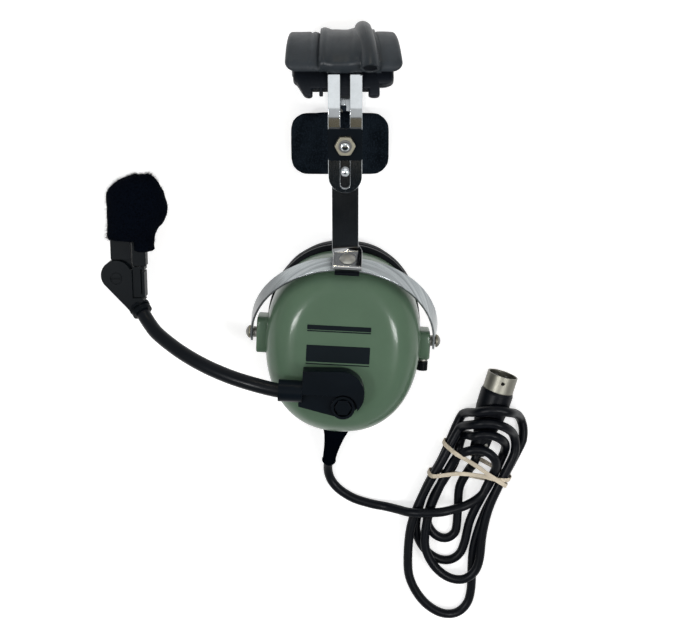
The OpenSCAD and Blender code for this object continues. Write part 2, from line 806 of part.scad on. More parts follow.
module boom_washer() {
    color([0.1, 0.1, 0.1]) in_cup() translate([boom_x, boom_y, dome_top]) difference() {
        cylinder(h = 1.2, r = 7);
        translate([0, 0, -1]) cylinder(h = 4, r = 1.9);
    }
}

module boom_bolt() {
    color([0.12, 0.12, 0.12]) in_cup() translate([boom_x, boom_y, 0]) {
        translate([0, 0, nut_z - 4]) cylinder(h = 10.5 + dome_top - nut_z, r = 1.9);
        translate([0, 0, dome_top + 6.2]) hex(8, 2.8);
    }
}

module boom_bolt_nut() {
    color("silver") in_cup() translate([boom_x, boom_y, nut_z - 3.1]) difference() {
        hex(7, 3.1);
        translate([0, 0, -1]) cylinder(h = 5, r = 1.9);
    }
}

module block_outline() {
    translate([0.2, -21.9]) circle(12.4);
    translate([boom_x + 0.2, boom_y + 0.2]) circle(6.4);
    polygon([[-20.5, -10.3], [0.2, -9.5], [0.2, -23], [-20.5, -23]]);
    polygon([[-20.5, -23], [-22.3, -28.2], [-22.3, -30.9], [0.8, -36.1], [2, -23]]);
}

module boom_block() {
    color([0.06, 0.07, 0.08]) in_cup() difference() {
        union() {
            translate([0, 0, boom_base]) linear_extrude(step_z - boom_base) block_outline();
            translate([0, 0, step_z]) linear_extrude(slab_z - step_z) difference() {
                block_outline();
                translate([boom_x, boom_y]) circle(7.6);
                translate([-24, -39]) square([25.6, 16]);
                translate([-8, -39]) square([20, 7]);
            }
            translate([boom_x, boom_y, step_z]) cylinder(h = 2.4, r = 6.3);
        }
        translate([boom_x, boom_y, 0]) cylinder(h = 100, r = 1.9 + fit);
        translate([boom_x, boom_y, dome_top + 6]) cylinder(h = 10, r = 4.9);
        translate([0, tube_y, tube_z]) rod_x(collar_r, -40, collar_root);
    }
}

module boom_collar() {
    color([0.09, 0.09, 0.1]) in_cup() translate([0, tube_y, tube_z]) difference() {
        rod_x(collar_r, collar_end, collar_root);
        rod_x(boom_d / 2 + 0.15, collar_end - 1, tube_root);
    }
}

module boom_tube() {
    path = smooth(boom_route, 3);
    color([0.08, 0.08, 0.09]) in_cup() tube(path, [for (p = path) boom_d / 2], 12);
}

// Ribbed fitting on the end of the boom, along the boom's last stretch
module elbow_knuckle() {
    path = smooth(boom_route, 3);
    end = path[len(path) - 1];
    run = unit(end - path[len(path) - 2]);
    color([0.2, 0.21, 0.22]) in_cup() translate(end)
        rotate([0, 0, atan2(run[1], run[0])]) rotate([0, acos(run[2]), 0]) {
            cylinder(h = 2.4, r = 5.6);
            translate([0, 0, 2.4]) cylinder(h = 0.8, r = 4.9);
            translate([0, 0, 3.2]) cylinder(h = 1.8, r = 5.9);
        }
}

module elbow_outline() {
    difference() {
        union() {
            translate([0, ear_up]) circle(ear_r);
            polygon([[-6.7, -3.5], [7.4, -18.8], [15, -12.4], [8.6, -6], [8.6, 4.5],
                [0, ear_up + ear_r]]);
        }
        translate([8.65, -11]) square([8, 22]);
    }
}

// Forked housing: a round ear with a gap for the arm's tang
module elbow_housing() {
    color([0.22, 0.23, 0.24]) at_ear() difference() {
        translate([0, 0, -fork_t / 2]) linear_extrude(fork_t) elbow_outline();
        translate([0, 0, -tang_t / 2 - 0.25]) cylinder(h = tang_t + 0.5, r = 9);
        translate([-5, 0, -tang_t / 2 - 0.25]) cube([20, 12, tang_t + 0.5]);
        translate([-14, 0, -tang_t / 2 - 0.25]) cube([14, 12, tang_t + 0.5]);
        translate([0, 0, -10]) cylinder(h = 20, r = 1.5);
        translate([0, 0, fork_t / 2 - 1]) cylinder(h = 2, r = 3.2);
    }
}

module elbow_block() {
    color([0.2, 0.21, 0.22]) at_ear() difference() {
        translate([8.7, -10.8, -fork_t / 2]) cube([6.6, 17.1, fork_t - 1.2]);
        translate([13.2, -9, 2.6]) cube([0.8, 14, 3]);
        translate([14.4, 3.4, -6]) cube([2, 0.9, 12]);
    }
}

module elbow_screw() {
    color([0.3, 0.3, 0.31]) at_ear() difference() {
        union() {
            translate([0, 0, -4.8]) cylinder(h = 8.9, r = 1.45);
            translate([0, 0, fork_t / 2 - 0.95]) cylinder(h = 0.85, r = 3.1);
        }
        translate([-4, -0.35, fork_t / 2 - 0.5]) cube([8, 0.7, 1]);
    }
}

// Arm of the microphone: a tang in the fork and two legs up into the windscreen
module mic_arm() {
    color([0.24, 0.25, 0.26]) in_mic() difference() {
        union() {
            translate([0, 0, -tang_t / 2]) cylinder(h = tang_t, r = 7.4);
            translate([-2.8, 0, -tang_t / 2]) cube([10.9, 12, tang_t]);
            translate([-2.8, 10.4, -4]) cube([10.9, 27, 8]);
            translate([9, 6.7, -4]) cube([7.2, 30.7, 7.4]);
            translate([6, 23, -3.4]) cube([5, 14.4, 6.8]);
        }
        translate([0, 0, -5]) cylinder(h = 10, r = 1.45 + fit);
    }
}

module mic_capsule() {
    color("silver") in_mic() translate([6.7, 0, 0]) rod_y(3.9, 37.5, 42.5);
}

module windscreen() {
    sides = 32;
    color([0.03, 0.03, 0.035]) in_mic() difference() {
        skin([for (row = screen_rows) [for (k = [0 : sides - 1])
            let (a = 360 * k / sides, x = (row[1] + row[2]) / 2, w = (row[2] - row[1]) / 2)
            [x + w * cos(a), row[0], -row[3] * sin(a)]]]);
        translate([-3.1, 10, -4.3]) cube([11.5, 27.8, 8.6]);
        translate([8, 10, -4.3]) cube([8.5, 27.8, 8.2]);
        translate([6.7, 0, 0]) rod_y(4.1, 37, 42.8);
    }
}

// ---------------------------------------------------------------- cord

module strain_relief() {
    steps = 3;
    path = smooth(relief_route, steps);
    last = len(relief_r) - 1;
    radii = [for (i = [0 : last - 1], k = [0 : steps - 1])
        relief_r[i] + (relief_r[i + 1] - relief_r[i]) * k / steps, relief_r[last]];
    color([0.04, 0.05, 0.05]) in_cup() {
        difference() {
            tube(path, radii, 18);
            translate([-20, dome_y - dome_l / 2 - 0.05, 0]) cube([40, 20, 60]);
            translate([-20, dome_y - dome_l / 2 - 0.55, 0]) cube([40, 20, dome_z + 0.05]);
        }
        translate([relief_x, 0, relief_z]) rod_y(4.35, -53, -48);
    }
}

module cord_lead() {
    path = smooth(lead_route, 4);
    color([0.04, 0.05, 0.06]) at_origin() tube(path, [for (p = path) cord_d / 2], 10);
}

// Smooth step from 0 to 1 as x goes from a to b
function ramp(x, a, b) = let (t = min(max((x - a) / (b - a), 0), 1)) t * t * (3 - 2 * t);

function mix(a, b, t) = a + (b - a) * t;

// Where the plug's axis is, u along the hank
function plug_axis(u) = plug_v - u * tan(plug_turn);

// Point k of 12 along half-turn h of the hank: out along a run, round, and back along the next
function hank_point(h, k) = let (
    from = hank_runs[h], to = hank_runs[h + 1], turn = hank_turns[h],
    steps = turn[0] > 0 ? 1 : 3,
    t = min(k / steps, (12 - k) / steps, 1),
    a = min(max(180 * (k - steps) / (12 - 2 * steps), 0), 180),
    u = sign(turn[0]) * ((abs(turn[0]) - turn[1]) * t + turn[1] * sin(a)),
    side = from[0] > to[0] ? 1 : -1,
    middle = turn[2] + (u < 0 ? hank_bow * pow(u / 82, 2) : 0),
    v = mix(a < 90 ? from[0] : to[0], middle + side * turn[1] * cos(a), ramp(t, 0, 1)),
    flat = mix(from[1], to[1], ramp(a, 30, 150)) + waist_lift * exp(-pow(u / 22, 2)),
    near_plug = exp(-pow(abs(v - plug_axis(u)) / 15, 4)),
    climb = u > 0 ? near_plug * ramp(u, turn[4] * turn[0], 0.85 * turn[0]) : 0)
    [v, u, mix(flat, turn[3], climb)];

hank_path = [[hank_runs[0][0], -cord_d, hank_runs[0][1] + waist_lift],
    for (h = [0 : len(hank_turns) - 1], k = [0 : 11]) hank_point(h, k),
    for (p = plug_tail) p];

// Least gap between parts of the hank's tube, measured between points of its path
function least_gap(p, apart) = min([for (i = [0 : len(p) - 1 - apart], j = [i + apart : len(p) - 1])
    norm(p[i] - p[j])]) - cord_d;

module cord_hank() {
    echo(least_gap = least_gap(smooth(hank_path, 2), 6));
    color([0.05, 0.05, 0.06]) in_hank() tube(hank_path, [for (p = hank_path) cord_d / 2], 6);
}

module rubber_band() {
    color([0.78, 0.7, 0.55]) in_hank() loop(band_route, band_r, 6);
}

module on_plug() {
    in_hank() translate([plug_v, 0, plug_z]) rotate([0, 0, plug_turn]) children();
}

// Turns a profile of [radius, along] round the plug's axis
module round_plug() {
    on_plug() rotate([-90, 0, 0]) rotate_extrude($fn = 64) children();
}

module plug_body() {
    color([0.06, 0.06, 0.07]) difference() {
        round_plug() difference() {
            polygon(concat([[0, plug_rear]], plug_profile, [[0, sleeve_end]]));
            translate([0, shell_from]) square([plug_neck, sleeve_end]);
        }
        plug_screws_solid();
    }
}

module plug_shell() {
    color("silver") difference() {
        round_plug() {
            translate([plug_bore, shell_from])
                square([plug_neck - fit - plug_bore, plug_front - shell_from]);
            translate([plug_bore, shell_step])
                square([plug_d / 2 - fit - plug_bore, plug_front - shell_step]);
        }
        on_plug() translate([0, plug_front - 3.8, 5]) cylinder(h = 6, r = 1.1);
    }
}

module plug_insert() {
    color([0.08, 0.08, 0.08]) round_plug() translate([0, shell_from]) square([plug_bore, 7]);
}

module plug_pins() {
    color("silver") on_plug() for (k = [0 : 3]) {
        rotate([0, 45 + 90 * k, 0]) translate([4.2, 0, 0]) rod_y(0.9, shell_from + 7, plug_front - 1.6);
    }
}

module plug_screws_solid() {
    on_plug() for (y = [15.5, 20]) {
        rotate([0, 22, 0]) translate([0, y, 4.6]) cylinder(h = 1.9, r = 1.1);
    }
}

module plug_screws() {
    color("silver") plug_screws_solid();
}

ear_dome();
label_plate();
seal_plate();
ear_seal();
speaker_frame();
speaker_magnet();
speaker_grille();
terminal_board();
acoustic_foam();
volume_pot();
pot_nut();
volume_shaft();
volume_knob();
pivot_bushings();
pivot_screws();
spring_washers();
stirrup();
stirrup_spacer();
swivel_rivet();
swivel_washer();
lower_band();
clamp_plate();
clamp_bolt();
clamp_nut();
guide_pin();
slotted_band();
head_pad_outer();
head_pad_wrap();
head_pad_inner();
temple_arm();
temple_rivets();
temple_pin();
temple_plate();
temple_pad();
boom_washer();
boom_bolt();
boom_bolt_nut();
boom_block();
boom_collar();
boom_tube();
elbow_knuckle();
elbow_housing();
elbow_block();
elbow_screw();
mic_arm();
mic_capsule();
windscreen();
strain_relief();
cord_lead();
cord_hank();
rubber_band();
plug_body();
plug_shell();
plug_insert();
plug_pins();
plug_screws();
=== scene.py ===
import math
import random

import bmesh
import bpy
from mathutils import Matrix, Vector, noise


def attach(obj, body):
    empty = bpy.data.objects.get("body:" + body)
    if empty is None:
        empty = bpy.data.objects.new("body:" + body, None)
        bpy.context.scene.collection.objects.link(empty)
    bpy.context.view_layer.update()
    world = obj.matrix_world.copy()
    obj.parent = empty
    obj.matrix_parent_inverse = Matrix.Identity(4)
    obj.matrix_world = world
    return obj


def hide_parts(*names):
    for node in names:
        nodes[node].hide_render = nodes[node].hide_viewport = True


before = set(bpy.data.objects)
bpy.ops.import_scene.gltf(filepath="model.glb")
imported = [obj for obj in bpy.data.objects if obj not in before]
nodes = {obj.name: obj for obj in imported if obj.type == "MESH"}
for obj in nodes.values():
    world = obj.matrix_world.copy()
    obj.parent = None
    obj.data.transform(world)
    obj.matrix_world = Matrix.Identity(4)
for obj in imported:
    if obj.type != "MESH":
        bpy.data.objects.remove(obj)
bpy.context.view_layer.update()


# ---------------- frames, in millimetres

def T(x, y, z):
    """A shift in millimetres."""
    return Matrix.Translation((x, y, z))


def R(angle, axis):
    """A turn in degrees."""
    return Matrix.Rotation(math.radians(angle), 4, axis)


# Driving sizes that several pieces share
DOME_W, DOME_L, DOME_POWER = 86, 102, 2.25
OVAL_Y = -1
SEAL_H, DOME_FROM, DOME_TOP = 18, 21, 61.5
BOW_R, BOW_RISE, BOW_HALF = 51, 3.2, 5
BRANCH_Y, BRANCH_Z, BRANCH_TILT = 52.2, 52.1, 9
BRANCH_L, CROWN_DROP = 71, 28.8
RAIL_HALF, RAIL_TIP = 8.75, 31.6
SLOT_HALF, SLOT_FROM, SLOT_TO = 2.5, 36.3, 44
CROWN_R = 30

ORIGIN = T(41.4, -44.6, 0)
CUP = ORIGIN @ T(-1.3, 0, 0) @ R(-3, "Z")
STIRRUP = CUP @ T(0, 0, 30) @ R(32.3, "X")
RIVET = STIRRUP @ T(0, 54.2, -1.5) @ R(-90, "X")
BRANCH = ORIGIN @ T(0, BRANCH_Y, BRANCH_Z) @ R(BRANCH_TILT, "X")
COS, SIN = math.cos(math.radians(BRANCH_TILT)), math.sin(math.radians(BRANCH_TILT))
CROWN_Y = BRANCH_Y + BRANCH_L * COS + CROWN_DROP * SIN
CROWN_Z = BRANCH_Z + BRANCH_L * SIN - CROWN_DROP * COS
CROWN = ORIGIN @ T(0, CROWN_Y, CROWN_Z)
EAR = CUP @ T(-126.3, 27, 30) @ R(3, "Z")
HANK = ORIGIN @ T(73.6, -87.3, 0) @ R(-25, "Z")


def metres(frame_mm, p):
    """Point p of a frame, in the scene's metres."""
    return (frame_mm @ Vector(p)) * 0.001


# ---------------- camera

camera = bpy.data.objects.new("camera", bpy.data.cameras.new("camera"))
bpy.context.scene.collection.objects.link(camera)
camera.data.sensor_width = 36
camera.data.lens = 60.23
camera.data.clip_start = 0.01
camera.data.clip_end = 20
camera.location = Vector((0.0439, 0.1038, 0.6688))
camera.rotation_euler = (math.radians(-12), 0, 0)
bpy.context.scene.camera = camera
bpy.context.scene.view_settings.view_transform = "Standard"


# ---------------- shader kit

def bag(name):
    """A fresh material, its node tree and its Principled node."""
    m = bpy.data.materials.new(name)
    m.use_nodes = True
    tree = m.node_tree
    tree.nodes.clear()
    out = tree.nodes.new("ShaderNodeOutputMaterial")
    bsdf = tree.nodes.new("ShaderNodeBsdfPrincipled")
    tree.links.new(bsdf.outputs[0], out.inputs[0])
    return m, tree, bsdf


def node(tree, kind, inputs=(), **settings):
    """A new node with its settings, its inputs set to values or linked to sockets."""
    n = tree.nodes.new("ShaderNode" + kind)
    for k, v in settings.items():
        setattr(n, k, v)
    for k, v in dict(inputs).items():
        if isinstance(v, bpy.types.NodeSocket):
            tree.links.new(v, n.inputs[k])
        else:
            n.inputs[k].default_value = v
    return n


def coords(tree, stretch=(1, 1, 1)):
    """Object coordinates, stretched along each axis."""
    c = node(tree, "TexCoord")
    m = node(tree, "Mapping", {"Vector": c.outputs["Object"]})
    m.inputs["Scale"].default_value = stretch
    return m.outputs[0]


def noise_at(tree, where, scale, detail=3, rough=0.5):
    """Noise texture's factor at coordinates `where`."""
    return node(tree, "TexNoise", {"Vector": where, "Scale": scale, "Detail": detail,
                                   "Roughness": rough}).outputs["Fac"]


def ramp(tree, value, stops):
    """Colour ramp over (position, colour) stops."""
    r = node(tree, "ValToRGB", {"Fac": value})
    e = r.color_ramp.elements
    while len(e) > 1:
        e.remove(e[-1])
    e[0].position, e[0].color = stops[0][0], stops[0][1]
    for p, c in stops[1:]:
        x = e.new(p)
        x.color = c
    return r.outputs["Color"]


def grey(v):
    """Opaque grey of level v."""
    return (v, v, v, 1)


def rgb(c, k=1.0):
    """Opaque colour c, k times as bright."""
    return (c[0] * k, c[1] * k, c[2] * k, 1)


def spread(tree, value, low, high):
    """A value from 0 to 1 mapped to low to high."""
    return node(tree, "MapRange", {"Value": value, "To Min": low, "To Max": high}).outputs[0]


def bump(tree, bsdf, height, distance, strength=1.0, edge=0.0, after=None):
    """Bump on top of an earlier one, `after`, or on edges that look rounded by `edge`."""
    b = node(tree, "Bump", {"Height": height, "Distance": distance, "Strength": strength})
    if after is not None:
        tree.links.new(after, b.inputs["Normal"])
    elif edge:
        v = node(tree, "Bevel", {"Radius": edge}, samples=4)
        tree.links.new(v.outputs[0], b.inputs["Normal"])
    tree.links.new(b.outputs[0], bsdf.inputs["Normal"])
    return b.outputs[0]


def moulded(name, color, rough=0.45, grain=900, depth=0.00003, vary=0.12, coat=0.0, edge=0.0002,
            shine=0.25, wander=0.05):
    """Moulded plastic: fine grain, slow change of colour and rubbed patches."""
    m, t, b = bag(name)
    c = coords(t)
    slow = noise_at(t, c, 45, 4, 0.6)
    fine = noise_at(t, c, grain, 2)
    tint = ramp(t, slow, [(0.3, rgb(color, 1 - vary)), (0.72, rgb(color, 1 + vary))])
    t.links.new(tint, b.inputs["Base Color"])
    wear = noise_at(t, c, 160, 4, 0.65)
    t.links.new(spread(t, wear, rough - wander, rough + wander), b.inputs["Roughness"])
    b.inputs["Specular IOR Level"].default_value = shine
    b.inputs["Coat Weight"].default_value = coat
    b.inputs["Coat Roughness"].default_value = 0.09
    b.inputs["Coat IOR"].default_value = 1.3
    bump(t, b, fine, depth, 0.6, edge)
    return m


def mixed(t, factor, a, color):
    """Colour `a` turning into `color` as the factor rises; each is a socket or a value."""
    n = t.nodes.new("ShaderNodeMix")
    n.data_type = "RGBA"
    t.links.new(factor, n.inputs[0])
    for socket, c in ((n.inputs[6], a), (n.inputs[7], color)):
        if isinstance(c, bpy.types.NodeSocket):
            t.links.new(c, socket)
        else:
            socket.default_value = rgb(c)
    return n.outputs[2]


def metal(name, color, rough=0.25, along=(1, 0.04, 1), lines=900, depth=0.000004, smudge=0.12,
          edge=0.0002, tarnish=0.0, streaks=0.0, ends=None):
    """Metal with fine lines `along` its strip, smudges, tarnish, streaks and a painted darker
    reflection at one end.

    `ends` gives the X where the painted darker reflection begins and the X where it is darkest.
    """
    m, t, b = bag(name)
    c = coords(t)
    brushed = coords(t, along)
    fine = noise_at(t, brushed, lines, 2)
    cloud = noise_at(t, c, 60, 5, 0.65)
    tint = ramp(t, cloud, [(0.3, rgb(color, 0.86)), (0.7, rgb(color, 1.05))])
    if tarnish:
        spots = noise_at(t, c, 420, 4, 0.75)
        mask = ramp(t, spots, [(0.58, grey(0)), (0.7, grey(tarnish))])
        tint = mixed(t, mask, tint, (0.16, 0.13, 0.1))
    if streaks:
        lines_across = noise_at(t, brushed, 420, 3, 0.6)
        mask = ramp(t, lines_across, [(0.42, grey(0)), (0.66, grey(streaks))])
        tint = mixed(t, mask, tint, (0.1, 0.11, 0.12))
    # Painted darker reflection: the colour turns dark grey from ends[0] to ends[1] along X
    if ends:
        across = node(t, "SeparateXYZ", {0: c}).outputs["X"]
        away = node(t, "MapRange", {"Value": across, "From Min": ends[0], "From Max": ends[1]})
        tint = mixed(t, away.outputs[0], tint, (0.12, 0.13, 0.135))
    t.links.new(tint, b.inputs["Base Color"])
    b.inputs["Metallic"].default_value = 1.0
    both = node(t, "Math", {0: cloud, 1: fine}, operation="ADD").outputs[0]
    t.links.new(spread(t, both, rough - smudge, rough + smudge), b.inputs["Roughness"])
    bump(t, b, fine, depth, 0.5, edge)
    return m


def vinyl(name, color, rough=0.5, cell=700, depth=0.00012, sheen=0.08, shine=0.35):
    """Soft vinyl skin with a leather-like grain and shallow creases."""
    m, t, b = bag(name)
    c = coords(t)
    cells = node(t, "TexVoronoi", {"Vector": c, "Scale": cell}, feature="DISTANCE_TO_EDGE")
    cells = cells.outputs[0]
    slow = noise_at(t, c, 60, 4, 0.6)
    creases = noise_at(t, coords(t, (1, 0.35, 1)), 240, 5, 0.7)
    tint = ramp(t, slow, [(0.3, rgb(color, 0.75)), (0.7, rgb(color, 1.35))])
    t.links.new(tint, b.inputs["Base Color"])
    t.links.new(spread(t, creases, rough - 0.12, rough + 0.15), b.inputs["Roughness"])
    b.inputs["Specular IOR Level"].default_value = shine
    b.inputs["Sheen Weight"].default_value = sheen
    b.inputs["Sheen Roughness"].default_value = 0.5
    first = bump(t, b, cells, depth, 0.35)
    bump(t, b, creases, depth * 2, 0.4, after=first)
    return m


def knit(name, color, cell=1100, depth=0.0003):
    """Knitted cover: ribs of small loops and lighter worn patches."""
    m, t, b = bag(name)
    c = coords(t)
    ribs = node(t, "TexWave", {"Vector": c, "Scale": 230, "Distortion": 1.6, "Detail": 2,
                               "Detail Scale": 3}, bands_direction="X").outputs["Fac"]
    loops = node(t, "TexVoronoi", {"Vector": c, "Scale": cell}).outputs["Distance"]
    slow = noise_at(t, c, 90, 4, 0.6)
    tint = ramp(t, loops, [(0.1, rgb(color, 1.8)), (0.55, rgb(color, 0.6))])
    worn = ramp(t, slow, [(0.35, grey(0)), (0.75, grey(0.6))])
    tint = mixed(t, worn, tint, [k * 2.2 for k in color])
    t.links.new(tint, b.inputs["Base Color"])
    b.inputs["Roughness"].default_value = 0.95
    b.inputs["Specular IOR Level"].default_value = 0.0
    first = bump(t, b, ribs, depth, 0.5)
    bump(t, b, loops, depth, 0.8, after=first)
    return m


def jacket(name, color, rough=0.42, shine=0.3, scuffs=0.03):
    """Rubbery cord jacket: matt black with a soft shine and faint scuffs."""
    m, t, b = bag(name)
    c = coords(t)
    slow = noise_at(t, c, 70, 4, 0.6)
    scuff = noise_at(t, c, 900, 4, 0.7)
    tint = ramp(t, slow, [(0.3, rgb(color, 0.8)), (0.7, rgb(color, 1.3))])
    tint = mixed(t, ramp(t, scuff, [(0.6, grey(0)), (0.75, grey(scuffs))]), tint, (0.3, 0.3, 0.3))
    t.links.new(tint, b.inputs["Base Color"])
    b.inputs["Specular IOR Level"].default_value = shine
    t.links.new(spread(t, scuff, rough - 0.08, rough + 0.14), b.inputs["Roughness"])
    bump(t, b, scuff, 0.00004, 0.5)
    return m


def foam_black(name, color):
    """Open-celled foam."""
    m, t, b = bag(name)
    c = coords(t)
    cells = node(t, "TexVoronoi", {"Vector": c, "Scale": 900}).outputs["Distance"]
    lumps = noise_at(t, c, 220, 5, 0.7)
    tint = ramp(t, cells, [(0.05, rgb(color, 0.3)), (0.5, rgb(color, 1.5))])
    t.links.new(tint, b.inputs["Base Color"])
    b.inputs["Roughness"].default_value = 1.0
    b.inputs["Specular IOR Level"].default_value = 0.02
    first = bump(t, b, cells, 0.0005, 0.8)
    bump(t, b, lumps, 0.0012, 0.6, after=first)
    return m


mats = {
    "sage": moulded("sage_plastic", (0.091, 0.151, 0.099), 0.3, 1500, 0.000006, 0.05, 0.3, 0.0004,
                    0.06, 0.03),
    "label": moulded("label_film", (0.004, 0.008, 0.011), 0.4, 1500, 0.00001, 0.1, shine=0.05),
    "black": moulded("black_plastic", (0.004, 0.0055, 0.008), 0.42, 1300, 0.00002, 0.2, shine=0.06),
    "satin": moulded("satin_black", (0.003, 0.0055, 0.0085), 0.32, 1100, 0.00002, 0.2, 0.0, 0.0004,
                     0.05),
    "tube": moulded("tube_black", (0.004, 0.0055, 0.008), 0.3, 700, 0.00002, 0.2, 0.0, 0.0003, 0.1),
    "grey": moulded("grey_black", (0.005, 0.007, 0.009), 0.36, 1000, 0.00002, 0.2, 0.0, 0.0003, 0.03),
    "chrome": metal("bright_strip", (0.68, 0.72, 0.745), 0.07, (1, 0.05, 1), smudge=0.02),
    # The bow's left limb turns dark grey past `ends`: a painted darker reflection
    "bow": metal("bow_strip", (0.36, 0.39, 0.4), 0.2, (0.03, 0.03, 1), smudge=0.06, streaks=0.65,
                 ends=(metres(RIVET, (-33, 0, 0)).x, metres(RIVET, (-46, 0, 0)).x)),
    # Same steel as the rails with a darker colour: a painted darker reflection on the lower band
    "lower": metal("lower_strip", (0.42, 0.43, 0.44), 0.09, (1, 0.05, 1), smudge=0.02),
    "arm": metal("arm_strip", (0.02, 0.027, 0.036), 0.12, (1, 0.05, 1), smudge=0.02),
    "screw": metal("dull_screw", (0.25, 0.25, 0.23), 0.38, (1, 1, 1), tarnish=0.5),
    "nut": metal("dull_nut", (0.22, 0.21, 0.165), 0.3, (1, 1, 1), tarnish=0.7),
    "brass": metal("brass", (0.6, 0.42, 0.18), 0.3, (1, 1, 1), tarnish=0.4),
    "nickel": metal("satin_nickel", (0.21, 0.205, 0.175), 0.36, (1, 1, 1), tarnish=0.3),
    "steel": metal("plain_steel", (0.45, 0.45, 0.46), 0.4, (1, 1, 1), tarnish=0.2),
    "magnet": metal("magnet", (0.12, 0.12, 0.12), 0.55, (1, 1, 1), tarnish=0.4),
    "board": moulded("board", (0.05, 0.16, 0.06), 0.45, 700, 0.00003, 0.2),
    "vinyl": vinyl("black_vinyl", (0.0185, 0.0243, 0.0305), shine=0.2),
    "seal": vinyl("seal_skin", (0.004, 0.0055, 0.008), 0.5, 900, 0.00008, 0.0, 0.1),
    "wrap": vinyl("wrap_vinyl", (0.0122, 0.0174, 0.0225), 0.4, 1200, 0.00006, 0.03, 0.25),
    "under": vinyl("under_vinyl", (0.006, 0.0085, 0.013), 0.5, 700, 0.00012, 0.02, 0.12),
    "knit": knit("black_knit", (0.0075, 0.011, 0.0155)),
    "screen": foam_black("screen_foam", (0.001, 0.0018, 0.004)),
    "cord": jacket("cord_jacket", (0.0015, 0.0025, 0.0048), 0.36, 0.1, 0.02),
    "relief": jacket("relief_rubber", (0.001, 0.0018, 0.0036), 0.4, 0.0, 0.0),
    "tan": jacket("tan_rubber", (0.56, 0.49, 0.38), 0.55),
}
# Which pieces have which look
finish = {
    "sage": "ear_dome", "label": "label_plate",
    "black": "seal_plate speaker_grille volume_knob stirrup_spacer temple_plate plug_insert",
    "seal": "ear_seal", "steel": "speaker_frame mic_capsule",
    "magnet": "speaker_magnet clamp_bolt plug_pins", "board": "terminal_board",
    "screen": "acoustic_foam windscreen", "brass": "volume_pot",
    "screw": ("pot_nut volume_shaft pivot_bushings pivot_screws swivel_rivet swivel_washer "
              "temple_rivets temple_pin boom_washer boom_bolt_nut plug_screws"),
    "nut": "spring_washers clamp_nut", "bow": "stirrup", "lower": "lower_band",
    "satin": "clamp_plate boom_bolt boom_block boom_collar", "chrome": "guide_pin slotted_band",
    "vinyl": "head_pad_outer", "wrap": "head_pad_wrap", "under": "head_pad_inner",
    "arm": "temple_arm", "knit": "temple_pad", "tube": "boom_tube",
    "grey": "elbow_knuckle elbow_housing elbow_block elbow_screw mic_arm",
    "relief": "strain_relief", "cord": "cord_lead cord_hank plug_body", "tan": "rubber_band",
    "nickel": "plug_shell",
}
for key, names in finish.items():
    for name in names.split():
        nodes[name].data.materials.clear()
        nodes[name].data.materials.append(mats[key])


# ---------------- cord, first of the pieces

# Route of the lead; each run of the hank as it passes the waist, (across, height); each
# turn as (reach, half width, shift across, height over the plug, where its climb starts)
LEAD = [(-10, -80.2, 9), (-10.6, -84.6, 6.1), (-10.3, -90, 3.8), (-8, -96, 2.8),
        (-3, -101.5, 2.8), (5, -106.5, 2.8), (15, -109.8, 2.8), (24, -111.2, 4),
        (31, -111.4, 8.2), (37, -111.3, 12.8), (43, -111, 15), (50, -110.8, 15.2),
        (57, -110.4, 15), (64, -109.4, 13.2), (70.4, -108.2, 11.2), (77, -105, 10.1),
        (81.4, -101.1, 9.9)]
RUNS = [(12.9, 8.6), (-12, 8.6), (19.2, 8.6), (-18.1, 8.6), (21, 2.7), (-17.4, 2.7),
        (15.2, 2.7), (-9.6, 2.7), (-2.2, 2.7)]
TURNS = [(17.5, 12, 0.6, 18.6, 0.05), (-66, 18.2, 4.4, 0, 0), (36, 18.4, 0.8, 22, 0.57),
         (-90, 21.6, -1.4, 0, 0), (45, 20, 1.4, 23.2, 0.57), (-60, 16.2, -3.8, 0, 0),
         (28.5, 13.6, 1.1, 20.6, 0.57), (-47, 9.6, -4.2, 0, 0)]
TAIL = [(-0.2, 0, 5.6), (-0.3, 4, 8.6), (-0.65, 7.9, 10), (-1.28, 11.8, 10)]


def step(x, a, b):
    """Smooth rise from 0 at a to 1 at b."""
    t = min(max((x - a) / (b - a), 0), 1)
    return t * t * (3 - 2 * t)


HALF_TURN = 12


def hank_point(h, k):
    """Point k of HALF_TURN along half-turn h of the hank, in the hank's frame.

    It runs out, turns at its reach and comes back. On one side of the waist the runs climb over
    the plug, on the other they drift aside.
    """
    out, back, (reach, half, shift, over, start) = RUNS[h], RUNS[h + 1], TURNS[h]
    steps = 1 if reach > 0 else 3
    t = min(k / steps, (HALF_TURN - k) / steps, 1)
    a = math.radians(min(max(180 * (k - steps) / (HALF_TURN - 2 * steps), 0), 180))
    u = math.copysign((abs(reach) - half) * t + half * math.sin(a), reach)
    side = 1 if out[0] > back[0] else -1
    middle = shift + (21.5 * (u / 82) ** 2 if u < 0 else 0)
    slot = out[0] if a < math.pi / 2 else back[0]
    m = step(t, 0, 1)
    v = slot * (1 - m) + (middle + side * half * math.cos(a)) * m
    f = step(math.degrees(a), 30, 150)
    flat = out[1] * (1 - f) + back[1] * f + 1.3 * math.exp(-(u / 22) ** 2)
    if u <= 0:
        return (v, u, flat)
    hump = math.exp(-(abs(v - 0.6 + u * math.tan(math.radians(9))) / 15) ** 4)
    climb = hump * step(u, start * reach, 0.85 * reach)
    return (v, u, flat * (1 - climb) + over * climb)


def between(a, b, c, d, t):
    """Value at t from b to c on a smooth curve through a, b, c and d."""
    return 0.5 * (2 * b + (c - a) * t + (2 * a - 5 * b + 4 * c - d) * t * t
                  + (3 * b - a - 3 * c + d) * t ** 3)


def smooth_path(points, n):
    """Smooth path through the points, n steps between each two."""
    out, last = [], len(points) - 1
    for i in range(last):
        four = [Vector(points[min(max(j, 0), last)]) for j in (i - 1, i, i + 1, i + 2)]
        out += [between(*four, k / n) for k in range(n)]
    return out + [Vector(points[-1])]


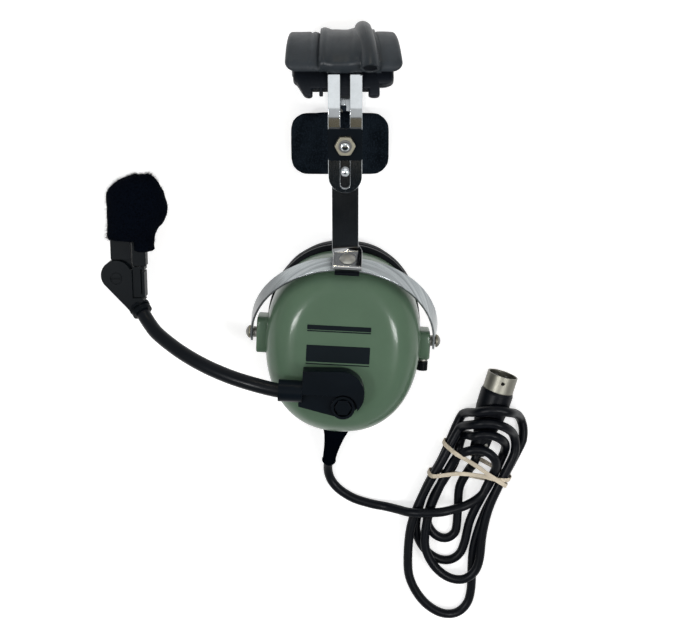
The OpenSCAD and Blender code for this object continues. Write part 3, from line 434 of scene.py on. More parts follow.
route = [ORIGIN @ Vector(p) for p in LEAD]
route += [HANK @ Vector((12.9, -5.2, 9.9))]
route += [HANK @ Vector(hank_point(h, k)) for h in range(len(TURNS)) for k in range(HALF_TURN)]
route += [HANK @ Vector(p) for p in TAIL]
line = smooth_path([p * 0.001 for p in route], 5)
curve = bpy.data.curves.new("cord", "CURVE")
curve.dimensions = "3D"
curve.bevel_depth = 0.0027
curve.bevel_resolution = 5
curve.use_fill_caps = True
spline = curve.splines.new("POLY")
spline.points.add(len(line) - 1)
for point, p in zip(spline.points, line):
    point.co = (*p, 1)
spline.use_smooth = True
cord = bpy.data.objects.new("cord", curve)
bpy.context.scene.collection.objects.link(cord)
cord.data.materials.append(mats["cord"])
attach(cord, "ear_cup")
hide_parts("cord_lead", "cord_hank")

# ---------------- mesh kit

IDENTITY = Matrix.Identity(4)


def build(name, verts, faces, place, mat, body, slot, stands_for=(), sharp=35):
    """A mesh piece from points in millimetres in the frame `place`."""
    mesh = bpy.data.meshes.new(name)
    mesh.from_pydata([metres(place, v) for v in verts], [], faces)
    bm = bmesh.new()
    bm.from_mesh(mesh)
    bmesh.ops.remove_doubles(bm, verts=bm.verts, dist=2e-6)
    bmesh.ops.recalc_face_normals(bm, faces=bm.faces)
    bm.to_mesh(mesh)
    bm.free()
    mesh.shade_smooth()
    mesh.set_sharp_from_angle(angle=math.radians(sharp))
    o = bpy.data.objects.new(name, mesh)
    bpy.context.scene.collection.objects.link(o)
    mesh.materials.append(mats[mat])
    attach(o, body)
    if stands_for:
        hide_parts(*stands_for)
    return o


def skin(rings, closed=False):
    """Points and faces over rings with the same number of points each, capped unless closed."""
    n, count = len(rings[0]), len(rings)
    verts = [p for ring in rings for p in ring]
    faces = []
    for i in range(count if closed else count - 1):
        j = (i + 1) % count
        for k in range(n):
            m = (k + 1) % n
            faces.append((i * n + k, j * n + k, j * n + m, i * n + m))
    if not closed:
        faces.append(tuple(range(n - 1, -1, -1)))
        faces.append(tuple((count - 1) * n + k for k in range(n)))
    return verts, faces


def joined(parts):
    """Several lists of points and faces as one."""
    verts, faces = [], []
    for v, f in parts:
        base = len(verts)
        verts += list(v)
        faces += [tuple(base + k for k in face) for face in f]
    return verts, faces


def oval(w, l, p, z, sides, cy=0.0):
    """Ring of a superellipse of power p at height z."""
    out = []
    for k in range(sides):
        a = 2 * math.pi * k / sides
        c, s = math.cos(a), math.sin(a)
        out.append((w / 2 * math.copysign(abs(c) ** (2 / p), c),
                    cy + l / 2 * math.copysign(abs(s) ** (2 / p), s), z))
    return out


def bead(outline, scale, wide, z, r):
    """Thin bead round a scaled outline, at height z; `wide` is its reach as parts of x and y."""
    turns = [(math.cos(math.pi * k / 4), math.sin(math.pi * k / 4)) for k in range(8)]
    return skin([[(p[0] * (scale + wide[0] * c), p[1] * (scale + wide[1] * c), z + r * s)
                  for c, s in turns] for p in outline], closed=True)


def circle(r, n):
    """Outline of n points round a circle."""
    return [(r * math.cos(2 * math.pi * k / n), r * math.sin(2 * math.pi * k / n))
            for k in range(n)]


def rounded(w, l, r, n=8):
    """Outline of a rectangle with round corners."""
    out = []
    for cx, cy, start in ((1, 1, 0), (-1, 1, 90), (-1, -1, 180), (1, -1, 270)):
        for k in range(n + 1):
            a = math.radians(start + 90 * k / n)
            out.append((cx * (w / 2 - r) + r * math.cos(a), cy * (l / 2 - r) + r * math.sin(a)))
    return out


def block(outline, low, high, edge, n=3):
    """Prism over an outline about its middle, with rounded top and bottom edges."""
    mx = (min(p[0] for p in outline) + max(p[0] for p in outline)) / 2
    my = (min(p[1] for p in outline) + max(p[1] for p in outline)) / 2
    w = max(p[0] for p in outline) - mx
    l = max(p[1] for p in outline) - my

    def ring(z, inset):
        """The outline at height z, drawn in by `inset`."""
        return [(mx + (x - mx) * (w - inset) / w, my + (y - my) * (l - inset) / l, z)
                for x, y in outline]

    rings = [ring(low + edge * (1 - math.cos(math.pi / 2 * k / n)),
                  edge * (1 - math.sin(math.pi / 2 * k / n))) for k in range(n + 1)]
    rings += [ring(high - edge * (1 - math.cos(math.pi / 2 * k / n)),
                   edge * (1 - math.sin(math.pi / 2 * k / n))) for k in range(n, -1, -1)]
    return skin(rings)


def pipe(path, radii, sides):
    """Round tube along a path of vectors."""
    path = [Vector(p) for p in path]
    last = len(path) - 1
    side = Vector((0.1, 0.2, 1))
    rings = []
    for i, p in enumerate(path):
        t = (path[min(i + 1, last)] - path[max(i - 1, 0)]).normalized()
        side = (side - side.dot(t) * t).normalized()
        other = t.cross(side)
        rings.append([p + radii[i] * (math.cos(a) * side + math.sin(a) * other)
                      for a in (2 * math.pi * k / sides for k in range(sides))])
    return skin(rings)


def bar(path, side, inner, outer, t, edge=0.18):
    """Flat strip along a path: `side` across it, from inner(i) to outer(i), t thick."""
    path = [Vector(p) for p in path]
    last = len(path) - 1
    rings = []
    for i, p in enumerate(path):
        heading = (path[min(i + 1, last)] - path[max(i - 1, 0)]).normalized()
        across = side(i) if callable(side) else Vector(side)
        across = (across - across.dot(heading) * heading).normalized()
        n = across.cross(heading)
        a, b = inner(i), outer(i)
        e0 = math.copysign(min(edge, abs(b - a) / 2.2), b - a)
        e1 = e0 if abs(a) > 0.05 else 0.0
        h = t / 2
        rings.append([p + across * x + n * y for x, y in (
            (a + e1, h), (b - e0, h), (b, h - edge), (b, -h + edge), (b - e0, -h),
            (a + e1, -h), (a, -h + abs(e1)), (a, h - abs(e1)))])
    return skin(rings)


def polar(x, r, a):
    """Point at x along the crown's axis, radius r and angle a in degrees."""
    return (x, r * math.sin(math.radians(a)), r * math.cos(math.radians(a)))


def spline1(values, n):
    """Smooth curve through tuples of any size, n steps between each two."""
    out, last = [], len(values) - 1
    for i in range(last):
        four = [values[min(max(j, 0), last)] for j in (i - 1, i, i + 1, i + 2)]
        out += [tuple(between(*parts, k / n) for parts in zip(*four)) for k in range(n)]
    return out + [tuple(values[-1])]


def waver(p, scale, depth):
    """Slow, repeatable unevenness at a point in millimetres."""
    return depth * noise.noise(Vector(p) * scale)


# ---------------- ear cup

# Dome: (inset, height) from its rim up to its flat top; its underside stays open
STEPS = [(0.6, 0), (0, 4), (0.1, 14), (0.8, 22), (2.3, 28), (5, 33), (8, 36.5), (12, 39),
         (16.5, 40.2), (22, 40.5)]
SIDES = 160
FAR_HALF = 0.952
rings = [oval(DOME_W - 2 * d, DOME_L - 2 * d, DOME_POWER, DOME_FROM + z, SIDES, OVAL_Y)
         for d, z in spline1(STEPS, 6)]
for k in range(1, 9):
    f = 1 - k / 9
    rings.append(oval(42 * f, 58 * f, DOME_POWER, DOME_TOP + 0.2 * (1 - f * f), SIDES, OVAL_Y))
# The far half is a little shorter, so that the seal shows behind it
rings = [[(x, y if y < OVAL_Y else FAR_HALF * (y - OVAL_Y) + OVAL_Y, z) for x, y, z in ring]
         for ring in rings]
verts, faces = skin(rings)
faces = [f for f in faces if len(f) <= 4 or min(f) > 0]
dome = build("dome_skin", verts, faces, CUP, "sage", "ear_cup", "dome_plastic", ("ear_dome",), 60)
wall = dome.modifiers.new("wall", "SOLIDIFY")
wall.thickness = 0.0022
wall.offset = -1

for name, side, low, high in (("pivot_boss_left", -1, -10.4, 10), ("pivot_boss_right", 1, -9, 6.4)):
    place = CUP @ T(side * 40, (low + high) / 2, 29.5) @ R(90 * side, "Y")
    v, f = block(rounded(17, high - low, 3), 0, 8, 0.8)
    build(name, v, f, place, "sage", "ear_cup", "dome_plastic", ("ear_dome",), 50)
v, f = block(circle(3.8, 48), -11, -3, 0.5)
build("knob_pod", v, f, CUP @ T(45.4, 0, 28) @ R(-90, "X"), "sage", "ear_cup", "dome_plastic",
      ("ear_dome",), 50)

# Generic label: a double rule, an empty field and a dark panel over a thin rule
LABEL = CUP @ T(-2.5, 1.7, 61.62)
for name, mid, tall in (("label_rule_top", 9.7, 2.5), ("label_rule_second", 7.7, 0.6),
                        ("label_panel", -4.6, 9.2), ("label_rule_low", -10.3, 0.55)):
    v, f = block(rounded(34, tall, min(0.35, tall * 0.3), 4), 0, 0.22, 0.08, 2)
    build(name, v, f, LABEL @ T(0, mid, 0), "label", "ear_cup", "label", ("label_plate",), 10)

# Ear seal: a ring with a soft section, (across, up) from 0 to 1, and a seam near its top
SECTION = [(0, 0), (0.35, 0), (0.65, 0), (0.86, 0.1), (0.97, 0.28), (1, 0.52), (0.95, 0.78),
           (0.82, 1), (0.18, 1), (0.04, 0.8), (-0.03, 0.55), (0.02, 0.3), (0.1, 0.1)]
section = spline1(SECTION + SECTION[:1], 5)[:-1]
section = [(a, min(max(h, 0), 1)) for a, h in section]
SEAL_SIDES = 168
inner = oval(44, 60, 2.2, 0, SEAL_SIDES, OVAL_Y)
outer = oval(88, 104, 2.2, 0, SEAL_SIDES, OVAL_Y)
rings = []
for i in range(SEAL_SIDES):
    ring = []
    for a, h in section:
        x = inner[i][0] + (outer[i][0] - inner[i][0]) * a
        y = inner[i][1] + (outer[i][1] - inner[i][1]) * a
        swell = 0.25 * waver((x, y, SEAL_H * h), 0.12, 1.0) if 0.02 < h < 0.98 else 0
        ring.append((x * (1 + swell / 60), y * (1 + swell / 60), SEAL_H * h))
    rings.append(ring)
v, f = skin(rings, closed=True)
seam = bead(outer, 0.985, (0.009, 0.009), 14.6, 0.45)
seal = build("seal_ring", *joined([(v, f), seam]), CUP, "seal", "ear_cup", "seal_skin",
             ("ear_seal",), 50)

v, f = block(rounded(51.4, 55.4, 12, 10), 41.2, 52.4, 2.5)
foam = build("foam_pad", v, f, CUP @ T(0, 9, 0), "screen", "ear_cup", "foam", ("acoustic_foam",),
             60)

# Strain relief: its middle line and its radius at each point, with a small lip at its end
RELIEF = [(-0.8, -48, 28.4), (-1.3, -54, 26.3), (-2, -60, 23.4), (-2.9, -67, 18.8),
          (-3.8, -74, 13.6), (-4.5, -80.5, 9)]
RELIEF_R = [5, 7.4, 6, 4.8, 4.1, 3.8]
route = spline1([(*p, r) for p, r in zip(RELIEF, RELIEF_R)], 14)
route = [q for q in route if q[1] < -50.4]
path = [q[:3] for q in route]
radii = [q[3] + 0.35 * math.exp(-((len(route) - 2 - i) / 1.6) ** 2) for i, q in enumerate(route)]
v, f = pipe(path, radii, 40)
build("relief_sleeve", v, f, CUP, "relief", "ear_cup", "cord_jacket", ("strain_relief",), 45)

# ---------------- stirrup and bands

legs = [(-BOW_R, -BOW_HALF + (BOW_HALF + BOW_RISE) * (1 - math.cos(math.pi * k / 28)), 0)
        for k in range(14)]
arc = [(-BOW_R * math.cos(math.pi * k / 96), BOW_RISE + BOW_R * math.sin(math.pi * k / 96), 0)
       for k in range(97)]
path = legs + arc + [(-x, y, z) for x, y, z in reversed(legs)]


def leg_half(i):
    """Half the bow's width at point i: its ends are round."""
    y = path[i][1]
    return BOW_HALF if y >= 0 else max(math.sqrt(max(BOW_HALF ** 2 - y * y, 0)), 0.25)


# Lean of the strip in degrees, from its left pivot to its right one
lean = spline1([(0,), (2,), (4,), (3,), (0,), (6,), (13,), (10,), (2,)], 16)


def bow_side(i):
    """Across the strip: its outer face turns upward along the legs."""
    x, y, z = path[i]
    away = Vector((x, max(y - BOW_RISE, 0), 0)).normalized()
    turn = math.radians(lean[round(i / (len(path) - 1) * (len(lean) - 1))][0])
    return Vector((0, 0, 1)) * math.cos(turn) - away * math.sin(turn)


v, f = bar(path, bow_side, lambda i: -leg_half(i), leg_half, 1.2)
build("stirrup_bow", v, f, STIRRUP, "bow", "stirrup", "spring_steel", ("stirrup",), 30)

# Slotted band: two rails along the same path, sampled closely at its round tip and slot's end
straight = [RAIL_TIP + 0.01 + RAIL_HALF * (1 - math.cos(math.pi / 2 * k / 14)) for k in range(14)]
straight += [SLOT_FROM - SLOT_HALF * math.cos(math.pi / 2 * k / 10) for k in range(11)]
straight += [40.4 + (BRANCH_L - 40.4) * k / 24 for k in range(25)]
straight.sort()
path = [BRANCH @ Vector((0, y, 1.2)) for y in straight]
marks = [("y", y) for y in straight]


def rail_r(a):
    """The strip runs straight on from 8 degrees and bends in under the pads."""
    leaves, turns, back = 8, 31, 50
    if a <= leaves or a >= back:
        return CROWN_R
    if a <= turns:
        return CROWN_R / math.cos(math.radians(a - leaves))
    soft = 0.25 * math.sin(math.pi * (a - turns) / (back - turns))
    return CROWN_R + 2.58 * (1 - step(a, turns, back)) + soft


for k in range(1, 95):
    a = 2 * k - BRANCH_TILT
    path.append(CROWN @ Vector(polar(0, rail_r(a), a)))
    marks.append(("a", a))
for k in range(1, 7):
    path.append(CROWN @ Vector((0, -2 * k, -CROWN_R)))
    marks.append(("a", 200))


def rail_out(i):
    """Outer edge of a rail at point i: the strip's end is round."""
    kind, s = marks[i]
    tip_middle = RAIL_TIP + RAIL_HALF
    if kind == "y" and s < tip_middle:
        return max(math.sqrt(max(RAIL_HALF ** 2 - (tip_middle - s) ** 2, 0)), 0.3)
    return RAIL_HALF


def rail_in(i):
    """Inner edge of a rail at point i: the two halves overlap past the slot's ends."""
    kind, s = marks[i]
    overlap = -0.3
    if kind == "a":
        return SLOT_HALF if s <= SLOT_TO else overlap
    if s < SLOT_FROM - SLOT_HALF - 0.001:
        return overlap
    if s < SLOT_FROM:
        return math.sqrt(max(SLOT_HALF ** 2 - (SLOT_FROM - s) ** 2, 0))
    return SLOT_HALF


for name, s in (("slotted_band_right", 1), ("slotted_band_left", -1)):
    v, f = bar(path, (1, 0, 0), lambda i: s * rail_in(i), lambda i: s * rail_out(i), 1.08)
    build(name, v, f, IDENTITY, "chrome", "upper_band", "spring_steel", ("slotted_band",), 25)

# Lower band: a rolled edge, the tab under the rivet, the bend and the straight strip
TAB_HALF, STRIP_HALF, STRIP_END = 7.7, 7.0, 62
path = []
tab_x = (RIVET.to_3x3() @ Vector((1, 0, 0))).normalized()
for k in range(17):
    a = math.radians(285 * (1 - k / 16))
    path.append(RIVET @ Vector((0, -6.9 - 0.75 * math.sin(a), 2.3 - 0.75 * math.cos(a))))
path += [RIVET @ Vector((0, -6.3 + 1.4 * k, 1.55)) for k in range(10)]
sides = [tab_x] * len(path)
halves = [TAB_HALF] * len(path)
start, corner, end = path[-1], BRANCH @ Vector((0, 0, 0)), BRANCH @ Vector((0, 1.2, 0))
for k in range(1, 8):
    f = k / 8
    path.append(start * (1 - f) ** 2 + corner * 2 * f * (1 - f) + end * f * f)
    sides.append(tab_x * (1 - f) + Vector((f, 0, 0)))
    halves.append(TAB_HALF + (STRIP_HALF - TAB_HALF) * f)
for k in range(31):
    path.append(BRANCH @ Vector((0, 1.2 + (STRIP_END - 1.2) * k / 30, 0)))
    sides.append(Vector((1, 0, 0)))
    halves.append(STRIP_HALF)
v, f = bar(path, lambda i: sides[i], lambda i: -halves[i], lambda i: halves[i], 1.16)
build("lower_strip", v, f, IDENTITY, "lower", "lower_band", "spring_steel", ("lower_band",), 25)

# Thread ring of dark metal and a bright chrome end of the bolt in its nut
CLAMP = BRANCH @ T(0, 57.4, 0)
v, f = block(circle(3.4, 40), 6.4, 7.2, 0.3)
build("clamp_thread", v, f, CLAMP, "magnet", "lower_band", "screw_steel", (), 40)
v, f = block(circle(2.3, 40), 7.4, 9.0, 0.9, 6)
build("clamp_tip", v, f, CLAMP, "chrome", "lower_band", "screw_steel", (), 60)

# ---------------- head pads

PAD_HALF, PAD_INSIDE, PAD_MIDDLE, PAD_OUTSIDE = 30.5, 30.65, 35.6, 39.0
PAD_FROM, PAD_TO, PAD_NOSE, PAD_TAIL = 39.5, 150, 8.4, 6.4
CORNER = 1.6
WRAP_FROM, WRAP_TO, WRAP_FOLD, WRAP_R = 36, 148, 5, 39.5
WRAP_LEFT, WRAP_W = -12.8, 31.2
ROLL_FROM, ROLL_TO, ROLL_AXIS = 29.5, 138, 40.3


def swept(profile, angles, shape):
    """Closed profile of (x, r) swept round the crown: shape(x, r, a) gives the point."""
    return skin([[shape(x, r, a) for x, r in profile] for a in angles])


def pad_top(x):
    """Outer face of the outer pad at x: round edges and four channels."""
    round_r = 2.2
    edge = max(abs(x) - (PAD_HALF - round_r), 0)
    r = PAD_OUTSIDE - (round_r - math.sqrt(max(round_r ** 2 - edge ** 2, 0)))
    for g, deep in ((13.2, 0.9), (17.6, 0.9), (-13.4, 1.3), (-14.9, 0.5), (-17.6, 0.7)):
        r -= deep * math.exp(-((x - g) / 0.75) ** 2)
    return r - 0.35 * (x / 30) ** 2


corner = [(PAD_HALF - CORNER * (1 - math.cos(math.pi / 2 * k / 5)),
           PAD_INSIDE + CORNER * (1 - math.sin(math.pi / 2 * k / 5))) for k in range(6)]
xs = [-PAD_HALF * math.cos(math.pi * k / 96) for k in range(97)]
profile = [(x, pad_top(x)) for x in xs] + corner
profile += [(x, PAD_INSIDE) for x in (24, 16, 8, 0, -8, -16, -24)]
profile += [(-x, r) for x, r in reversed(corner)]
angles = [PAD_FROM - PAD_NOSE * math.sin(math.pi / 2 * k / 9) for k in range(9, 0, -1)]
angles += [PAD_FROM + (PAD_TO - PAD_FROM) * k / 70 for k in range(71)]
angles += [PAD_TO + PAD_TAIL * math.sin(math.pi / 2 * k / 7) for k in range(1, 8)]


def pad_point(x, r, a):
    """Outer pad: round ends, and sides that lean inward towards the crown's far side."""
    e = max((PAD_FROM - a) / PAD_NOSE, (a - PAD_TO) / PAD_TAIL, 0)
    k = math.sqrt(max(1 - e * e, 0.0004))
    slow = waver((x, r, a * 0.6), 0.09, 0.25) if r > 33 else 0
    x *= 1 - 0.17 * (1 - k) * step(abs(x), 14, 30)
    right, left = 0.035 + 0.105 * min(max((a - 34) / 54, 0), 1), 0.03 * step(a, 34, 88)
    x *= 1 - (right if x > 0 else left)
    # The near end slants: its inner side starts farther round the crown
    if a < 70:
        a = max(a, 31.1 + 3.4 * max(36.4 - r, 0))
    return polar(x, PAD_MIDDLE + (r - PAD_MIDDLE) * k + slow * k, a)


v, f = swept(profile, angles, pad_point)
pad = build("head_pad_outer_skin", v, f, CROWN, "vinyl", "upper_band", "pad_vinyl",
            ("head_pad_outer",), 60)

# Wrap: a strip of vinyl pulled over the pad, sagging between its raised edge and the roll
angles = [WRAP_FROM - WRAP_FOLD * math.sin(math.pi / 2 * k / 8) for k in range(8, 0, -1)]
angles += [WRAP_FROM + (WRAP_TO - WRAP_FROM) * k / 80 for k in range(81)]
xs = [WRAP_LEFT + WRAP_W * k / 48 for k in range(49)]


def roll_x(a):
    """Centre line of the roll, which leans across the pad."""
    return 12.7 - 3.5 * step(a, 30, 84)


def wrap_r(x):
    """Radius of the wrap at x: a raised left edge and a slight crown."""
    left = 1.35 * math.exp(-((x + 10.6) / 2.3) ** 2)
    return WRAP_R + left + 0.5 * math.exp(-((x - 5) / 3) ** 2)


def wrap_point(x, r, a):
    """Wrap: its near edge folds down, and its right part swells up to the roll."""
    fold = max(WRAP_FROM - a, 0) / WRAP_FOLD
    drop = WRAP_FOLD * (1 - math.sqrt(max(1 - fold * fold, 0)))
    x -= 3.2 * step(x, -2, 18) * step(a, 36, 84)
    crease = 0.16 * noise.noise(Vector((x * 0.5, a * 0.04, 3))) + waver((x, a * 0.5, 9), 0.12, 0.2)
    gap = x - roll_x(a)
    spill = 5.2 - 2.2 * step(a, 40, 84) if gap < 0 else 2.2
    rise = 4.4 * math.exp(-(gap / spill) ** 2) * (0.35 + 0.65 * step(a, 31, 44))
    rise *= 1 - step(a, 112, 136)
    return polar(x, r + crease + rise - drop, a)


profile = [(x, wrap_r(x) + 0.45) for x in xs] + [(x, wrap_r(x) - 0.4) for x in reversed(xs)]
parts = [swept(profile, angles, wrap_point)]

# Roll at the wrap's edge, open at its near end
angles = [ROLL_FROM + (ROLL_TO - ROLL_FROM) * k / 72 for k in range(73)]


def roll_ring(radius, a):
    """Slightly uneven ring of the roll at angle a."""
    ring = []
    for k in range(36):
        b = 2 * math.pi * k / 36
        r = radius + radius * 0.03 * noise.noise(Vector((math.cos(b), math.sin(b), a * 0.05)))
        ring.append(polar(roll_x(a) + r * 1.1 * math.sin(b), ROLL_AXIS + r * math.cos(b), a))
    return ring


# Each ring is (radius, angle): from inside the open end, round its lip, and on to the far end
rings = [(2.9, 42), (3.1, 34), (3.2, 30), (3.5, 29.4), (4.1, 29.6)]
rings += [(4.5 - 0.5 * step(a, 29, 50), a) for a in angles]
rings += [(3.6, 138.9), (2.6, 139.8), (1.0, 140.4)]
parts.append(skin([roll_ring(radius, a) for radius, a in rings]))
wrap = build("wrap_skin", *joined(parts), CROWN, "wrap", "upper_band", "pad_vinyl",
             ("head_pad_wrap",), 60)
# Dark skin of painted shade: a darker material inside the roll's open end that shows as its hollow
hollow = [(1.2, 46), (2.3, 44), (2.75, 40), (2.95, 34), (3.05, 30.3), (1.5, 30.9)]
v, f = skin([roll_ring(radius, a) for radius, a in hollow])
build("roll_hollow_painted_shade", v, f, CROWN, "seal", "upper_band", "pad_vinyl", ("head_pad_wrap",), 60)


def arc_pad(x0, x1, a0, a1, r0, r1, near, slant, edge):
    """Padded block round the crown with a rounded near end; its left side may slant."""
    n = 8
    angles = [a0 + near * (1 - math.cos(math.pi / 2 * k / n)) for k in range(n)]
    steps = max(int((a1 - a0) / 2), 4)
    angles += [a0 + near + (a1 - a0 - near) * k / steps for k in range(steps + 1)]
    rings = []
    for a in angles:
        e = max(1 - (a - a0) / near, 0)
        k = math.sqrt(max(1 - e * e, 0.0025))
        lo = x0 + slant * (a - a0) + (1 - k) * edge
        hi = x1 - (1 - k) * edge
        mid, half = (r0 + r1) / 2, (r1 - r0) / 2 * (0.72 + 0.28 * k)
        out = []
        for x, r in rounded(hi - lo, 2 * half, min(1.6, (hi - lo) / 2.3), 6):
            out.append(polar((lo + hi) / 2 + x, mid + r + waver((x, r, a), 0.15, 0.15), a))
        rings.append(out)
    return skin(rings)


# Inner pad: lobes of (left, right, from, to, round near end, slant, how far its sides draw in)
lobes = [(-8, 8, 13, 30, 1.2, 0, 1.6), (-13.2, -11.3, 14, 30, 1.0, 0, 0.6),
         (-20.6, -16.6, 11.6, 34, 2.8, -0.26, 1.6), (11.9, 17.7, 12, 34, 3, 0, 1.8),
         (-22.5, 17.7, 20, 148, 1.6, 0, 1.2), (-26.7, 0, 26.4, 148, 8, 0, 3.6),
         (0, 24.9, 25.2, 148, 8, 0, 5)]
parts = [arc_pad(x0, x1, a0, a1, 22.8 - 0.02 * i, 29.2 + 0.02 * i, near, slant, edge)
         for i, (x0, x1, a0, a1, near, slant, edge) in enumerate(lobes)]
inner_pad = build("head_pad_inner_skin", *joined(parts), CROWN, "under", "upper_band", "pad_vinyl",
                  ("head_pad_inner",), 60)

# ---------------- temple pad, by cloth


def puffed(o, voxel, pressure, cap):
    """Swells a closed form with air under cloth, by at most `cap` metres, then rounds it."""
    scene = bpy.context.scene
    remesh = o.modifiers.new("voxels", "REMESH")
    remesh.mode = "VOXEL"
    remesh.voxel_size = voxel
    deps = bpy.context.evaluated_depsgraph_get()
    mesh = bpy.data.meshes.new_from_object(o.evaluated_get(deps))
    o.modifiers.clear()
    o.data = mesh
    rest = [v.co.copy() for v in mesh.vertices]
    cloth = o.modifiers.new("cloth", "CLOTH")
    cloth.settings.use_pressure = True
    cloth.settings.uniform_pressure_force = pressure
    cloth.settings.effector_weights.gravity = 0
    cloth.settings.tension_stiffness = 20
    for frame_number in range(1, 21):
        scene.frame_set(frame_number)
    deps = bpy.context.evaluated_depsgraph_get()
    grown = bpy.data.meshes.new_from_object(o.evaluated_get(deps))
    o.modifiers.clear()
    o.data = grown
    for v, r in zip(grown.vertices, rest):
        d = v.co - r
        if d.length > cap:
            v.co = r + d * (cap / d.length)
    scene.frame_set(1)
    sub = o.modifiers.new("round", "SUBSURF")
    sub.levels = sub.render_levels = 1
    o.data.shade_smooth()


PAD = ORIGIN @ T(-3.1, 105.9, 11.8)
PAD_W, PAD_L, PAD_CORNER = 56, 35.5, 10
LEVELS = [(2.6, 0.2), (1.2, 1.2), (0.8, 3.4), (1.4, 5.6), (2.8, 7.1), (5.4, 8.1), (9.4, 8.5)]
rings = [[(x, y, z) for x, y in rounded(PAD_W - 2 * d, PAD_L - 2 * d, max(PAD_CORNER - d, 2), 12)]
         for d, z in spline1(LEVELS, 3)]
temple = build("temple_pad_cover", *skin(rings), PAD, "knit", "temple", "pad_knit",
               ("temple_pad",), 180)
puffed(temple, voxel=0.0018, pressure=3.0, cap=0.0012)
temple.data.materials.clear()
temple.data.materials.append(mats["knit"])
hem = bead(oval(53.6, 33.6, 3.4, 0, 120), 1, (0.012, 0.019), 0.9, 0.55)
build("temple_pad_hem", *hem, PAD, "knit", "temple", "pad_knit", (), 60)

# ---------------- boom and microphone

BOOM = [(-23, -22.6, 67.6), (-28.5, -22.6, 67.6), (-34, -22.6, 67.6), (-46.5, -20.5, 66.2),
        (-60, -17.8, 62.6), (-74.5, -13.8, 57), (-88.5, -8.6, 49.5), (-101.5, -2, 41),
        (-107.5, 3, 36), (-111.8, 8, 32.4)]
BOOM_R = 3.9
path = spline1(BOOM, 8)
v, f = pipe(path, [BOOM_R] * len(path), 40)
build("boom_tube_skin", v, f, CUP, "tube", "boom", "tube_metal", ("boom_tube",), 50)

# Windscreen: rows of (distance along the microphone, left side, right side, half depth)
SCREEN_SIDES, FIBRES = 96, 3600
ROWS = [(14.6, 10.6, 19.4, 5), (15.6, 9.4, 20.6, 6.6), (20.4, 9, 21, 7.8), (21.2, -4.2, 21, 8.8),
        (23.2, -5, 21.4, 10.2), (27, -4.8, 23.2, 11.6), (32, -4.6, 27, 12.6),
        (38.5, -4.6, 28.9, 13.2), (46, -4.4, 27, 12.6), (50.5, -1.8, 25, 11.6),
        (54, 3, 22.6, 9), (56, 8.2, 20.6, 5.6), (56.8, 12, 18.6, 2.4)]
rows = []
for i, (a, b) in enumerate(zip(ROWS, ROWS[1:])):
    n = 2 if i in (0, 2) else 5
    for k in range(n):
        # Straight between the first rows, where the screen steps out past the arm
        if i < 4:
            rows.append(tuple(p + (q - p) * k / n for p, q in zip(a, b)))
        else:
            q = spline1([ROWS[i - 1], a, b, ROWS[min(i + 2, len(ROWS) - 1)]], n)
            rows.append(q[n + k])
rows.append(ROWS[-1])
rings = []
for y, x0, x1, d in rows:
    ring = []
    for k in range(SCREEN_SIDES):
        a = 2 * math.pi * k / SCREEN_SIDES
        p = Vector(((x0 + x1) / 2 + (x1 - x0) / 2 * math.cos(a), y, -d * math.sin(a)))
        away = Vector((math.cos(a), 0.3 * (y - 40) / 20, -math.sin(a)))
        rough = 0.35 * noise.noise(p * 0.28) + 0.22 * noise.noise(p * 0.9)
        ring.append(p + away * (rough - 0.1))
    rings.append(ring)
screen = build("windscreen_foam", *skin(rings), EAR, "screen", "mic", "screen_foam",
               ("windscreen",), 180)

# Loose fibres on the windscreen, thickest on its left side and top
random.seed(7)
verts, faces = [], []
while len(faces) < FIBRES:
    i = random.randrange(6, len(rings) - 1)
    k = random.randrange(SCREEN_SIDES)
    a = 2 * math.pi * k / SCREEN_SIDES
    keep = 0.25 + 0.75 * max(-math.cos(a), (rows[i][0] - 44) / 12, 0)
    if random.random() > keep:
        continue
    p = Vector(rings[i][k])
    out = Vector((math.cos(a), 0.9 * max((rows[i][0] - 42) / 14, -0.3), -math.sin(a))).normalized()
    stray = Vector((random.uniform(-1, 1), random.uniform(-1, 1), random.uniform(-1, 1)))
    tip = p + (out + 0.6 * stray) * random.uniform(0.5, 1.6) * (0.6 + 0.9 * keep)
    across = out.cross(stray).normalized() * 0.07
    base = len(verts)
    verts += [p - out * 0.3 - across, p - out * 0.3 + across, tip]
    faces.append((base, base + 1, base + 2))
build("windscreen_fibres", verts, faces, EAR, "screen", "mic", "screen_foam", (), 180)

# ---------------- rubber band, a flat ribbon

BAND_HALF, BAND_T = 1.25, 0.56
# Its two laps round the hank's waist, which cross on top
WAIST = [(-16, 9, 0.6), (-20, 9.3, 0.7), (-21.5, 9.3, 3), (-21.5, 9.3, 9), (-20, 9.2, 12.4),
         (-15.4, 8.7, 16.8), (-11.6, 8.3, 17.8), (-7.6, 7.8, 16.8), (2, 6, 14.6), (8.8, 4.5, 14.2),
         (12.8, 3.9, 14.5), (16.4, 3.2, 14.6), (19.8, 2.4, 13.4), (22.8, 1.4, 11), (24.4, 0.6, 6),
         (24, 0.2, 1.4), (20, -0.6, 0.6), (0, -5.6, 0.6), (-16, -10, 0.6), (-20, -11, 0.7),
         (-21.5, -11.2, 3), (-21.5, -11.2, 9), (-20, -11, 12.8), (-17, -9.2, 13.7),
         (-12, -6, 13.7), (-4, -2, 12.8), (7.7, 1.8, 13), (12.9, 2.7, 13.6), (16.4, 3.6, 13.4),
         (19.6, 4.7, 13.1), (22.8, 5.4, 10.6), (24.5, 5.6, 6), (24, 5.6, 1.4), (20, 5.8, 0.6),
         (0, 7.6, 0.6)]
count = len(WAIST)
path = []
for i in range(count):
    four = [Vector(WAIST[(i + j) % count]) for j in (-1, 0, 1, 2)]
    path += [between(*four, k / 4) for k in range(4)]
rings = []
